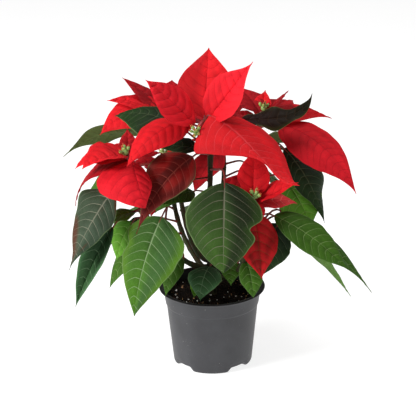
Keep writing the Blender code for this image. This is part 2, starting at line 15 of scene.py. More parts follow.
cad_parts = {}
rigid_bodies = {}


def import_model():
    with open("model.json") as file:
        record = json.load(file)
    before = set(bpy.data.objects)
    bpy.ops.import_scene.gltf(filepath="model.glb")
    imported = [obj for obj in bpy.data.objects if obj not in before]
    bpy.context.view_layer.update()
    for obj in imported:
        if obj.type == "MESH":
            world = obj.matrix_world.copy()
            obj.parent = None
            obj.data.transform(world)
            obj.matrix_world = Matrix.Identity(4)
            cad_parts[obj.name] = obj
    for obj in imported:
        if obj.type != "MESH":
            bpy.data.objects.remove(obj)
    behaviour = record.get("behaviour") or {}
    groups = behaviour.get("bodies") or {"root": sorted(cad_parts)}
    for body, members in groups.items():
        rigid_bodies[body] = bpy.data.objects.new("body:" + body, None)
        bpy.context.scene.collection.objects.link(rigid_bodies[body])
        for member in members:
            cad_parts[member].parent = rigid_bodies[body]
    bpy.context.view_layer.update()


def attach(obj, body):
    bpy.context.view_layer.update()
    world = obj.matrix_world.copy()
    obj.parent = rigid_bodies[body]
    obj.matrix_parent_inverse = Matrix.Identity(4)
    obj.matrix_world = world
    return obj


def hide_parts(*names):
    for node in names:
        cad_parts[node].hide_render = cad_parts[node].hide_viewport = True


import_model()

MM = 0.001

# The studio
# A white table that glows faintly, in a white room, with a large soft window light on the
# left, a weaker fill on the right and a light above. The camera looks down on the plant.
CAMERA_PLACE = (-3.2, -1370.7, 652.3)
CAMERA_DOWN = 19.26
CAMERA_TURN = -0.77
SENSOR_WIDTH = 36.0
PICTURE_PIXELS = 416
FOCAL_PIXELS = 1376.8      # the lens's focal length, counted in the picture's pixels
TABLE_REACH = 4.0
TABLE_DROP = 0.0003
LIGHTS_AIM = Vector((0.0, 0.0, 0.18))


class Value:
    """A node's output, which Python's operators turn into Math nodes."""

    def __init__(self, board, socket):
        self.board, self.socket = board, socket

    def maths(self, operation, *others):
        values = dict(enumerate((self, *others)))
        return self.board.node("ShaderNodeMath", dict(operation=operation), values)

    def __add__(self, other):
        return self.maths("ADD", other)

    def __sub__(self, other):
        return self.maths("SUBTRACT", other)

    def __rsub__(self, other):
        return (self * -1.0).maths("ADD", other)

    def __mul__(self, other):
        return self.maths("MULTIPLY", other)

    def __truediv__(self, other):
        return self.maths("DIVIDE", other)

    def __pow__(self, other):
        return self.maths("POWER", other)

    def __abs__(self):
        return self.maths("ABSOLUTE")

    def clamp(self):
        return self.maths("MAXIMUM", 0.0).maths("MINIMUM", 1.0)

    def step(self, low, high):
        """0 below low and 1 above high, or the other way round, with a soft rise between."""
        return self.board.node("ShaderNodeMapRange", dict(interpolation_type="SMOOTHSTEP"),
                               {"Value": self, "From Min": low, "From Max": high})


class Board:
    """A node tree under construction."""

    def __init__(self, tree):
        self.tree = tree
        tree.nodes.clear()

    def node(self, kind, settings=None, values=None, output=0):
        made = self.tree.nodes.new(kind)
        for name, setting in (settings or {}).items():
            if name == "stops":
                ramp = made.color_ramp.elements
                while len(ramp) < len(setting):
                    ramp.new(0.5)
                for stop, (place, colour) in zip(ramp, setting):
                    stop.position, stop.color = place, (*colour, 1.0)
            else:
                setattr(made, name, setting)
        for name, value in (values or {}).items():
            if isinstance(value, Value):
                self.tree.links.new(value.socket, made.inputs[name])
            else:
                made.inputs[name].default_value = value
        return Value(self, made.outputs[output])

    def mix(self, one, other, factor, blend="MIX"):
        """Two colours mixed; a plain colour may stand for either."""
        values = {"Factor": factor, 6: one, 7: other}
        for slot in (6, 7):
            if isinstance(values[slot], tuple):
                values[slot] = (*values[slot], 1.0)
        return self.node("ShaderNodeMix", dict(data_type="RGBA", blend_type=blend), values, 2)

    def noise(self, where, scale, detail=3.0, roughness=0.55):
        return self.node("ShaderNodeTexNoise", None,
                         {"Vector": where, "Scale": scale, "Detail": detail,
                          "Roughness": roughness})

    def cells(self, where, scale, feature="F1", output="Distance"):
        return self.node("ShaderNodeTexVoronoi", dict(feature=feature),
                         {"Vector": where, "Scale": scale}, output)

    def attribute(self, name, output="Fac"):
        return self.node("ShaderNodeAttribute", dict(attribute_name=name), None, output)


class Finish(Board):
    """A material under construction, with one Principled shader."""

    def __init__(self, name, **constants):
        self.material = bpy.data.materials.new(name)
        self.material.use_nodes = True
        super().__init__(self.material.node_tree)
        self.shader = self.tree.nodes.new("ShaderNodeBsdfPrincipled")
        out = self.tree.nodes.new("ShaderNodeOutputMaterial")
        self.tree.links.new(self.shader.outputs[0], out.inputs["Surface"])
        self.set(**constants)

    def set(self, **sockets):
        for name, value in sockets.items():
            socket = self.shader.inputs[name.replace("_", " ")]
            if isinstance(value, Value):
                self.tree.links.new(value.socket, socket)
            elif isinstance(value, tuple) and len(value) == 3 and len(socket.default_value) == 4:
                socket.default_value = (*value, 1.0)
            else:
                socket.default_value = value

    def tint(self, one, other, share):
        """The base colour, between two."""
        self.set(Base_Color=self.mix(one, other, share))

    def here(self):
        return self.node("ShaderNodeTexCoord", output="Object")

    def stretched(self, where, scale):
        return self.node("ShaderNodeMapping", None, {"Vector": where, "Scale": scale})

    def bump(self, height, depth, strength=1.0):
        """Relief of a depth in millimetres."""
        self.set(Normal=self.node("ShaderNodeBump", None,
                                  {"Height": height, "Distance": depth * MM,
                                   "Strength": strength}))


scene = bpy.context.scene
scene.view_settings.view_transform = "Standard"
world = bpy.data.worlds.new("white_room")
scene.world = world
world.use_nodes = True
# The room is white at the horizon and darker overhead, where only the lamps shine
room = Board(world.node_tree)
upward = room.node("ShaderNodeSeparateXYZ", None,
                   {"Vector": room.node("ShaderNodeTexCoord", output="Generated")}, "Z")
glow = room.node("ShaderNodeBackground", None, {"Color": (1.0, 1.0, 1.0, 1.0),
                                                "Strength": upward.step(0.3, 0.0) * 0.65 + 0.17})
sky = world.node_tree.nodes.new("ShaderNodeOutputWorld")
world.node_tree.links.new(glow.socket, sky.inputs["Surface"])

lens = bpy.data.cameras.new("camera")
lens.sensor_width = SENSOR_WIDTH
lens.lens = FOCAL_PIXELS / PICTURE_PIXELS * SENSOR_WIDTH
camera = bpy.data.objects.new("camera", lens)
scene.collection.objects.link(camera)
camera.matrix_world = (Matrix.Translation(Vector(CAMERA_PLACE) * MM)
                       @ Matrix.Rotation(math.radians(90 - CAMERA_DOWN), 4, "X")
                       @ Matrix.Rotation(math.radians(CAMERA_TURN), 4, "Z"))
scene.camera = camera


def take_shape(name, shape, home=None):
    """A new object with the mesh of a finished BMesh, put in a collection if one is given."""
    mesh = bpy.data.meshes.new(name)
    shape.to_mesh(mesh)
    shape.free()
    made = bpy.data.objects.new(name, mesh)
    if home:
        home.objects.link(made)
    return made


table_finish = Finish("white_table", Roughness=0.9, Emission_Color=(1.0, 1.0, 1.0),
                      Emission_Strength=0.82)
table_finish.tint((0.36, 0.36, 0.36), (0.40, 0.40, 0.40),
                  table_finish.noise(table_finish.here(), 3.0))
flat = bmesh.new()
bmesh.ops.create_grid(flat, x_segments=8, y_segments=8, size=TABLE_REACH)
table_top = take_shape("table_top", flat, scene.collection)
table_top.location.z = -TABLE_DROP
table_top.data.materials.append(table_finish.material)


def soft_light(name, place, size, power, colour=(1.0, 1.0, 1.0)):
    """An area light that faces the middle of the plant."""
    lamp = bpy.data.lights.new(name, "AREA")
    lamp.shape, lamp.size, lamp.energy, lamp.color = "DISK", size, power, colour
    light = bpy.data.objects.new(name, lamp)
    scene.collection.objects.link(light)
    light.location = place
    toward = LIGHTS_AIM - light.location
    light.rotation_mode = "QUATERNION"
    light.rotation_quaternion = toward.to_track_quat("-Z", "Y")


soft_light("window", (-1.65, -0.85, 1.2), 0.7, 54.0)
soft_light("fill", (1.3, -1.5, 0.9), 1.2, 5.0)
soft_light("above", (0.1, 0.2, 1.7), 0.8, 12.0)

# The pot
# A thermoformed grower pot in slate-grey plastic, with a rolled rim, a collar that stacked
# pots rest on, a slightly tapered wall, and four notches with drain holes round its foot.
RIM_RADIUS = 57.0
POT_HEIGHT = 86.0
POT_WALL = 1.2
BASE_RADIUS = 42.8
FLOOR_FLAT_RADIUS = 33.0
FOOT_NOTCHES = 4
NOTCH_HEIGHT = 4.5
NOTCH_WIDTH = 32.0
NOTCH_START = -49.0
NOTCH_FLANK = 8.0
DRAIN_RADIUS = 3.0
DRAIN_CIRCLE = 36.6        # the radius on which the drain holes lie
POT_SIDES = 144
SHARP_ANGLE = 50.0         # an edge that turns by more is left sharp


def direction(heading, slope):
    a, p = math.radians(heading), math.radians(slope)
    return Vector((math.cos(p) * math.cos(a), math.cos(p) * math.sin(a), math.sin(p)))


def smooth_step(t):
    t = min(max(t, 0.0), 1.0)
    return t * t * (3.0 - 2.0 * t)


def rounded(profile, corner=0.8, steps=4):
    """A profile with its corners cut back and rounded."""
    out = [profile[0]]
    for a, b, c in zip(profile, profile[1:], profile[2:]):
        a, b, c = Vector(a), Vector(b), Vector(c)
        before = min(corner, (a - b).length * 0.45)
        after = min(corner, (c - b).length * 0.45)
        start, end = b + (a - b).normalized() * before, b + (c - b).normalized() * after
        for i in range(steps + 1):
            t = i / steps
            out.append(tuple(start * (1 - t) ** 2 + b * 2 * t * (1 - t) + end * t * t))
    return out + [profile[-1]]


def split_long(profile, longest):
    """A profile with points added where they lie far apart."""
    out = []
    for a, b in zip(profile, profile[1:]):
        count = max(1, math.ceil(math.dist(a, b) / longest))
        out += [(a[0] + (b[0] - a[0]) * i / count, a[1] + (b[1] - a[1]) * i / count)
                for i in range(count)]
    return out + [profile[-1]]


def turned(name, profile, sides, shift=None):
    """A closed shape turned about the pot's axis; its profile starts and ends on the axis."""
    shape = bmesh.new()
    rings = []
    for radius, height in profile:
        count = 1 if radius < 1e-6 else sides
        ring = []
        for i in range(count):
            angle = 2 * math.pi * i / sides
            place = Vector((radius * math.cos(angle), radius * math.sin(angle), height))
            if shift:
                place += shift(place)
            ring.append(shape.verts.new(place * MM))
        rings.append(ring)
    for low, high in zip(rings, rings[1:]):
        for i in range(sides):
            j = (i + 1) % sides
            corners = [low[i % len(low)], low[j % len(low)], high[j % len(high)],
                       high[i % len(high)]]
            once = list(dict.fromkeys(corners))
            if len(once) > 2:
                shape.faces.new(once)
    bmesh.ops.recalc_face_normals(shape, faces=shape.faces)
    return take_shape(name, shape, scene.collection)


def settle(piece, slot, *nodes):
    """Shade a finished piece, and give it its place on the frame."""
    piece.data.shade_smooth()
    piece.data.set_sharp_from_angle(angle=math.radians(SHARP_ANGLE))
    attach(piece, "root")
    if nodes:
        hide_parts(*nodes)


def plain_mesh(piece):
    """Put the evaluated mesh in the piece's place and drop its modifiers."""
    graph = bpy.context.evaluated_depsgraph_get()
    result = bpy.data.meshes.new_from_object(piece.evaluated_get(graph))
    piece.modifiers.clear()
    piece.data = result


def notch_lift(place):
    """How far the foot is raised in a notch."""
    if place.z > 8.0:
        return Vector((0.0, 0.0, 0.0))
    fade = 1.0 - smooth_step((place.z - 4.0) / 4.0)
    heading = math.degrees(math.atan2(place.y, place.x))
    spacing = 360 / FOOT_NOTCHES
    off = (heading - NOTCH_START + spacing / 2) % spacing - spacing / 2
    across = smooth_step((NOTCH_WIDTH / 2 + NOTCH_FLANK / 2 - abs(off)) / NOTCH_FLANK)
    outward = smooth_step((math.hypot(place.x, place.y) - FLOOR_FLAT_RADIUS) / 4.0)
    return Vector((0.0, 0.0, NOTCH_HEIGHT * across * outward * fade))


inner = [(0.0, POT_WALL), (FLOOR_FLAT_RADIUS, POT_WALL), (37.0, POT_WALL),
         (40.4, POT_WALL + 1.2), (BASE_RADIUS - POT_WALL, 6.5), (47.9, 66.8), (48.9, 68.2),
         (51.0, 81.5), (52.6, POT_HEIGHT - 0.6), (54.0, POT_HEIGHT)]
outer = [(RIM_RADIUS - 0.7, POT_HEIGHT), (RIM_RADIUS, POT_HEIGHT - 0.7),
         (RIM_RADIUS - 0.3, 84.2), (53.4, 83.6), (52.2, 81.5), (50.1, 67.6), (49.1, 66.5),
         (BASE_RADIUS, 5.0), (42.4, 1.4), (40.8, 0.0), (37.0, 0.0), (FLOOR_FLAT_RADIUS, 0.0),
         (0.0, 0.0)]
pot_shell = turned("pot_shell", split_long(rounded(inner + outer, 0.7), 4.0), POT_SIDES,
                   notch_lift)
drills = bpy.data.collections.new("drills")
scene.collection.children.link(drills)
for i in range(FOOT_NOTCHES):
    way = direction(NOTCH_START + i * 360 / FOOT_NOTCHES, 0.0)
    bore = bmesh.new()
    bmesh.ops.create_cone(bore, cap_ends=True, segments=24, radius1=DRAIN_RADIUS * MM,
                          radius2=DRAIN_RADIUS * MM, depth=10 * MM)
    bmesh.ops.translate(bore, verts=bore.verts,
                        vec=(way * DRAIN_CIRCLE + Vector((0.0, 0.0, 4.0))) * MM)
    take_shape("drill", bore, drills)
holes = pot_shell.modifiers.new("drain holes", "BOOLEAN")
holes.operand_type, holes.collection, holes.solver = "COLLECTION", drills, "EXACT"
plain_mesh(pot_shell)
for drill in list(drills.objects):
    bpy.data.objects.remove(drill, do_unlink=True)
bpy.data.collections.remove(drills)

plastic = Finish("slate_pot_plastic", IOR=1.46)
here = plastic.here()
scuffs = plastic.noise(here, 26.0, 5.0, 0.6)
dust = plastic.cells(here, 620.0).step(0.13, 0.05) * plastic.noise(here, 90.0).step(0.5, 0.62)
grains = plastic.cells(here, 210.0).step(0.11, 0.06) * plastic.noise(here, 40.0).step(0.5, 0.6)
wall_colour = plastic.mix((0.034, 0.034, 0.038), (0.050, 0.051, 0.056), scuffs.step(0.35, 0.7))
plastic.set(Base_Color=plastic.mix(wall_colour, (0.30, 0.29, 0.27),
                                   (dust * 0.6 + grains * 0.8).clamp()),
            Roughness=scuffs * 0.22 + dust * 0.2 + 0.38)
plastic.bump(plastic.noise(here, 700.0, 2.0) * 0.4 + dust, 0.12, 0.6)
lining = Finish("black_pot_lining", Roughness=0.5, Specular_IOR_Level=0.2)
lining.tint((0.004, 0.004, 0.004), (0.010, 0.010, 0.010), lining.noise(lining.here(), 60.0))
for finish in (plastic, lining):
    pot_shell.data.materials.append(finish.material)
for face in pot_shell.data.polygons:
    inward = -face.normal.dot(Vector((face.center.x, face.center.y, 0.0)).normalized())
    face.material_index = 1 if face.normal.z > 0.35 or inward > 0.2 else 0
settle(pot_shell, "pot_grey_plastic", "pot")

# The root ball
# Dark moist peat that fills the pot to a finger under the rim, crumbly on top, with grains
# of white perlite and tan bark chips mixed in and some lying on it.
SOIL_LEVEL = 76.0
SOIL_SEED = 11
CLEARANCE = 0.3
TRUNK_RADIUS = 5.0
TRUNK_FOOT = 40.0
SOIL_EDGE = 49.4
BED_RADIUS = 47.0          # crumbs lie on the soil within this radius
BED_SIDES = 72
ANY_WAY_ROUND = 6.28       # radians


def soil_height(x, y):
    """The lumps of the soil's top, in millimetres."""
    low = noise.fractal(Vector((x / 16.0, y / 16.0, 1.7)), 1.0, 2.1, 4)
    return 1.5 * low + 0.7 * abs(noise.noise(Vector((x / 2.6, y / 2.6, 4.0))))


def soil_relief(place):
    radius = math.hypot(place.x, place.y)
    if place.z < SOIL_LEVEL - 0.5 or radius < TRUNK_RADIUS * 1.1 + CLEARANCE + 0.1:
        return Vector((0.0, 0.0, 0.0))
    return Vector((0.0, 0.0, soil_height(place.x, place.y)))


floor = POT_WALL + CLEARANCE
step = floor + NOTCH_HEIGHT + 1.6
bore_radius = TRUNK_RADIUS * 1.1 + CLEARANCE
side = BASE_RADIUS - POT_WALL
root_ball = turned("root_ball", [(0.0, floor), (31.5, floor), (33.0, step), (side - 1.6, step),
                                 (side - 0.4, 12.0), (47.3, 66.4), (48.3, 68.4)]
                   + [(SOIL_EDGE - 0.1 * i, SOIL_LEVEL - 0.4 + 0.2 * i) for i in range(2)]
                   + [(radius, SOIL_LEVEL) for radius in np.linspace(48.6, bore_radius, 40)]
                   + [(bore_radius, TRUNK_FOOT - 3.3), (0.0, TRUNK_FOOT - 3.3)], 120, soil_relief)
peat = Finish("moist_peat", Roughness=0.95, Specular_IOR_Level=0.1)
here = peat.here()
clods = peat.noise(here, 300.0, 6.0, 0.7)
peat.tint((0.003, 0.0022, 0.0018), (0.016, 0.010, 0.007), clods.step(0.42, 0.75))
peat.bump(clods + peat.cells(here, 700.0) * 0.5, 1.6)
root_ball.data.materials.append(peat.material)
settle(root_ball, "potting_soil", "soil")


def node_tree(name, gives, *inputs):
    """An empty tree of geometry nodes with named inputs: its board, and its inputs by name."""
    tree = bpy.data.node_groups.new(name, "GeometryNodeTree")
    for label, kind, value in inputs:
        made = tree.interface.new_socket(label, in_out="INPUT", socket_type="NodeSocket" + kind)
        if value is not None:
            made.default_value = value
    tree.interface.new_socket(gives, in_out="OUTPUT", socket_type="NodeSocketGeometry")
    board = Board(tree)
    asked = tree.nodes.new("NodeGroupInput")
    return board, {socket.name: Value(board, socket) for socket in asked.outputs if socket.name}


def end_tree(board, result):
    end = board.tree.nodes.new("NodeGroupOutput")
    board.tree.links.new(result.socket, end.inputs[0])


# The crumbs, perlite and bark that lie on the soil are scattered by one tree of nodes
board, given = node_tree("scatter on soil", "Grains", ("Bed", "Geometry", None),
                         ("Grain", "Object", None), ("Count", "Int", 100),
                         ("Least", "Float", 0.5), ("Most", "Float", 1.0), ("Seed", "Int", 1),
                         ("Finish", "Material", None))
scatter = board.tree
spots = board.node("GeometryNodeDistributePointsOnFaces", dict(distribute_method="RANDOM"),
                   {"Mesh": given["Bed"], "Density": given["Count"]
                    / (math.pi * (BED_RADIUS * MM) ** 2), "Seed": given["Seed"]})
grain = board.node("GeometryNodeObjectInfo", None, {"Object": given["Grain"]}, "Geometry")
turn = board.node("FunctionNodeRandomValue", dict(data_type="FLOAT_VECTOR"),
                  {0: (0.0, 0.0, 0.0), 1: (ANY_WAY_ROUND,) * 3, "Seed": given["Seed"]})
size = board.node("FunctionNodeRandomValue", dict(data_type="FLOAT"),
                  {2: given["Least"], 3: given["Most"], "Seed": given["Seed"] + 7.0}, 1)
laid = board.node("GeometryNodeInstanceOnPoints", None,
                  {"Points": spots, "Instance": grain, "Rotation": turn, "Scale": size})
real = board.node("GeometryNodeRealizeInstances", None, {"Geometry": laid})
coated = board.node("GeometryNodeSetMaterial", None,
                    {"Geometry": real, "Material": given["Finish"]})
end_tree(board, coated)


def lump(name, size, subdivisions, seed):
    """One uneven grain, about 1 mm across before it is scaled."""
    shape = bmesh.new()
    bmesh.ops.create_icosphere(shape, subdivisions=subdivisions, radius=0.5 * MM)
    for vert in shape.verts:
        swell = 1.0 + 0.5 * noise.noise(vert.co / MM * 1.9 + Vector((seed, 0.0, 0.0)))
        vert.co = Vector(c * s * swell for c, s in zip(vert.co, size))
    return take_shape(name, shape)


def strew(name, grain, count, least, most, seed, finish, slot):
    """Lay grains over the soil inside the pot."""
    bed = bmesh.new()
    rings = []
    around = np.linspace(0, 2 * math.pi, BED_SIDES, endpoint=False)
    for radius in np.linspace(8.0, BED_RADIUS, 24):
        rings.append([bed.verts.new(Vector((x, y, SOIL_LEVEL + soil_height(x, y) + 0.1)) * MM)
                      for x, y in ((radius * math.cos(a), radius * math.sin(a))
                                   for a in around)])
    for low, high in zip(rings, rings[1:]):
        for i in range(BED_SIDES):
            j = (i + 1) % BED_SIDES
            bed.faces.new((low[i], high[i], high[j], low[j]))
    piece = take_shape(name, bed, scene.collection)
    strewing = piece.modifiers.new("strew", "NODES")
    strewing.node_group = scatter
    keys = {item.name: item.identifier for item in scatter.interface.items_tree
            if item.in_out == "INPUT"}
    for key, value in (("Grain", grain), ("Count", count), ("Least", least), ("Most", most),
                       ("Seed", seed), ("Finish", finish.material)):
        strewing[keys[key]] = value
    plain_mesh(piece)
    bpy.data.objects.remove(grain, do_unlink=True)
    settle(piece, slot)


crumb = Finish("peat_crumb", Roughness=0.95, Specular_IOR_Level=0.1)
crumb.tint((0.004, 0.003, 0.002), (0.028, 0.016, 0.010),
           crumb.noise(crumb.here(), 180.0, 2.0).step(0.4, 0.7))
strew("peat_crumbs", lump("crumb", (1.0, 0.85, 0.7), 1, 3.0), 900, 0.8, 3.0, SOIL_SEED, crumb,
      "potting_soil")
perlite = Finish("perlite", Roughness=0.8)
perlite.tint((0.42, 0.40, 0.37), (0.85, 0.83, 0.80), perlite.noise(perlite.here(), 400.0))
strew("perlite_grains", lump("perlite", (1.0, 0.9, 0.8), 2, 8.0), 46, 1.0, 2.6, SOIL_SEED + 1,
      perlite, "potting_soil")
bark = Finish("bark_chip", Roughness=0.85)
bark.tint((0.10, 0.045, 0.018), (0.36, 0.20, 0.09),
          bark.noise(bark.here(), 160.0).step(0.35, 0.65))
strew("bark_chips", lump("chip", (2.2, 0.8, 0.5), 1, 5.0), 80, 0.9, 2.4, SOIL_SEED + 2, bark,
      "potting_soil")

# The main stem
# The old stem, pinched a hand above the pot, woody and scarred where its first leaves fell.
# Three small leaves still grow from it. Its foot stands in the soil.
TRUNK_TOP = 128.0
WALK_STEPS = 48            # steps from a petiole's foot to its blade's tip
PETIOLE_STEPS = 14
STEM_STEPS = 60
FINE_BLADE = 2300.0        # a blade with more length times width has the finer grid
FINE_GRID = (28, 46)
PLAIN_GRID = (18, 30)
LONG_BLADE = 55.0          # a longer blade has a thicker petiole
HALF_THICKNESS = 0.26
VEIN_SPACING = 9.5
GROOVE_DEPTH = 0.55        # of the midrib, on top
RIB_DEPTH = 0.9            # of the midrib, underneath
BLADE = dict(rise=20.0, petiole=10.0, turn=0.0, slope=0.0, bend=30.0, flick=0.0, sweep=0.0,
             length=60.0, width=36.0, roll=0.0, fold=12.0, cup=-18.0, wave=0.05, waves=1.6,
             widest=0.4, taper=1.35, lop=0.0, skew=0.0, notch=0.0, notch_at=0.45, notch_span=0.07)


def midrib(start, heading, form):
    """Walk along petiole and blade: a list of (distance, place, heading, slope)."""
    stride = (form["petiole"] + form["length"]) / WALK_STEPS
    place = start.copy()
    walk = []
    for i in range(WALK_STEPS + 1):
        gone = i * stride
        if gone < form["petiole"]:
            crook = smooth_step((gone / form["petiole"] - 0.45) / 0.55)
            slope = form["rise"] + (form["slope"] - form["rise"]) * crook
            course = heading + form["turn"] * crook
        else:
            u = (gone - form["petiole"]) / form["length"]
            slope = form["slope"] - form["bend"] * u + form["flick"] * u ** 3
            course = heading + form["turn"] + form["sweep"] * u ** 3
        walk.append((gone, place.copy(), course, slope))
        place += direction(course, slope) * stride
    return walk


def at_distance(walk, gone):
    """The place, heading and slope at a distance along the walk."""
    stride = walk[1][0]
    i = min(int(gone / stride), len(walk) - 2)
    t = gone / stride - i
    near, far = walk[i], walk[i + 1]
    course, slope = (near[k] + (far[k] - near[k]) * t for k in (2, 3))
    return near[1].lerp(far[1], t), course, slope


def half_width(u, form, side):
    """Half the width at u of the way from base to tip, on the left (+1) or right (-1)."""
    widest = form["widest"] + form["skew"] * side
    if u < widest:
        share = math.sin(math.pi / 2 * u / widest) ** 0.62
    else:
        left = max(1 - u, 0.0) / (1 - widest)
        share = math.sin(math.pi / 2 * left) ** form["taper"]
    if form["notch"] * side > 0:
        depth = math.exp(-((u - form["notch_at"]) / form["notch_span"]) ** 2)
        share *= 1 - abs(form["notch"]) * depth
    return max(share * (1 + form["lop"] * side) * form["width"] / 2, 0.35)


def blade_point(walk, form, u, v, ruffle):
    """A point of the blade's middle surface, u from base to tip and v across, -1 to 1."""
    place, course, slope = at_distance(walk, form["petiole"] + u * form["length"])
    a, p = math.radians(course), math.radians(slope)
    normal = Vector((-math.sin(p) * math.cos(a), -math.sin(p) * math.sin(a), math.cos(p)))
    left = Vector((-math.sin(a), math.cos(a), 0.0))
    roll = math.radians(form["roll"])
    normal, left = (normal * math.cos(roll) - left * math.sin(roll),
                    left * math.cos(roll) + normal * math.sin(roll))
    side = 1 if v >= 0 else -1
    edge = noise.noise(Vector((u * 9.0, side * 3.0, ruffle)))
    reach = half_width(u, form, side) * (1.0 + 0.05 * edge)
    fold, cup = math.radians(form["fold"]), math.radians(form["cup"] or 1.0)
    turned_by = fold + cup * abs(v)
    out = reach * (math.sin(turned_by) - math.sin(fold)) / cup
    up = reach * (math.cos(fold) - math.cos(turned_by)) / cup
    up += (form["wave"] * reach * abs(v) ** 1.5
           * math.sin(2 * math.pi * form["waves"] * u + 1.3 * side))
    up += 0.075 * reach * abs(v) ** 3 * noise.noise(Vector((u * 7.0, side * 5.0, ruffle + 9.0)))
    return place + left * out * side + normal * up


class Gather:
    """Vertices, faces and attributes of many parts, which become one piece."""

    def __init__(self):
        self.places, self.faces, self.kinds = [], [], []
        self.extra = {}
        self.count = 0

    def add(self, places, faces, kind=0, **extra):
        self.places.append(np.asarray(places))
        self.faces += [tuple(i + self.count for i in face) for face in faces]
        self.kinds += [kind] * len(faces)
        for name, values in extra.items():
            self.extra.setdefault(name, []).append(np.asarray(values, dtype=float))
        self.count += len(places)

    def piece(self, name, *finishes):
        mesh = bpy.data.meshes.new(name)
        mesh.from_pydata((np.concatenate(self.places) * MM).tolist(), [], self.faces)
        for name_of, parts in self.extra.items():
            values = np.concatenate(parts)
            if values.ndim == 1:
                mesh.attributes.new(name_of, "FLOAT", "POINT").data.foreach_set("value", values)
            else:
                mesh.attributes.new(name_of, "FLOAT_VECTOR", "POINT").data.foreach_set(
                    "vector", values.ravel())
        for finish in finishes:
            mesh.materials.append(finish.material)
        mesh.polygons.foreach_set("material_index", self.kinds)
        made = bpy.data.objects.new(name, mesh)
        scene.collection.objects.link(made)
        return made


def tube(gather, points, radii, kind=0, sides=10, **extra):
    """A round stem through points, closed at both ends, with rings square to its path."""
    points = [Vector(p) for p in points]
    way = (points[1] - points[0]).normalized()
    across = way.orthogonal().normalized()
    places, share = [], []
    for i, (place, radius) in enumerate(zip(points, radii)):
        ahead = points[min(i + 1, len(points) - 1)] - points[max(i - 1, 0)]
        way = ahead.normalized()
        across = (across - way * across.dot(way)).normalized()
        over = way.cross(across)
        for k in range(sides):
            a = 2 * math.pi * k / sides
            places.append(place + (across * math.cos(a) + over * math.sin(a)) * radius)
            share.append(i / (len(points) - 1))
    count = len(points)
    faces = [(i * sides + k, i * sides + (k + 1) % sides, (i + 1) * sides + (k + 1) % sides,
              (i + 1) * sides + k) for i in range(count - 1) for k in range(sides)]
    places += [points[0], points[-1]]
    share += [0.0, 1.0]
    foot, head = count * sides, count * sides + 1
    faces += [(foot, (k + 1) % sides, k) for k in range(sides)]
    faces += [(head, (count - 1) * sides + k, (count - 1) * sides + (k + 1) % sides)
              for k in range(sides)]
    gather.add(places, faces, kind, stem_share=share, **{
        name: np.tile(np.asarray(value, dtype=float), (len(places), 1))
        for name, value in extra.items()})


def mixed(one, other, t):
    return tuple(a + (b - a) * t for a, b in zip(one, other))


def blade_tints(look, u, v, seed):
    """The colour at each point of a blade, from its base to its tip, with its half of another
    colour (on the front and shaded looks a painted shade, on sunny a painted sheen), margin and
    patches where its look has them."""
    tints = []
    for a, b in zip(u.ravel(), v.ravel()):
        colour = mixed(look["base"], look["tip"], smooth_step(a * 1.15))
        if "left" in look:
            colour = mixed(colour, look["left"], 0.8 * smooth_step(b * 2.0 + 0.1))
        if "edge" in look:
            colour = mixed(colour, look["edge"], smooth_step((abs(b) - 0.6) / 0.4))
        if "patch" in look:
            spot = noise.noise(Vector((a * 3.0, b * 2.2, seed)))
            colour = mixed(colour, look["patch"], smooth_step(spot * 2.6 + 0.1))
        shade = 1.0 + 0.22 * noise.noise(Vector((a * 5.0, b * 4.0, seed + 4.0)))
        tints.append(tuple(c * shade for c in colour))
    return np.array(tints)


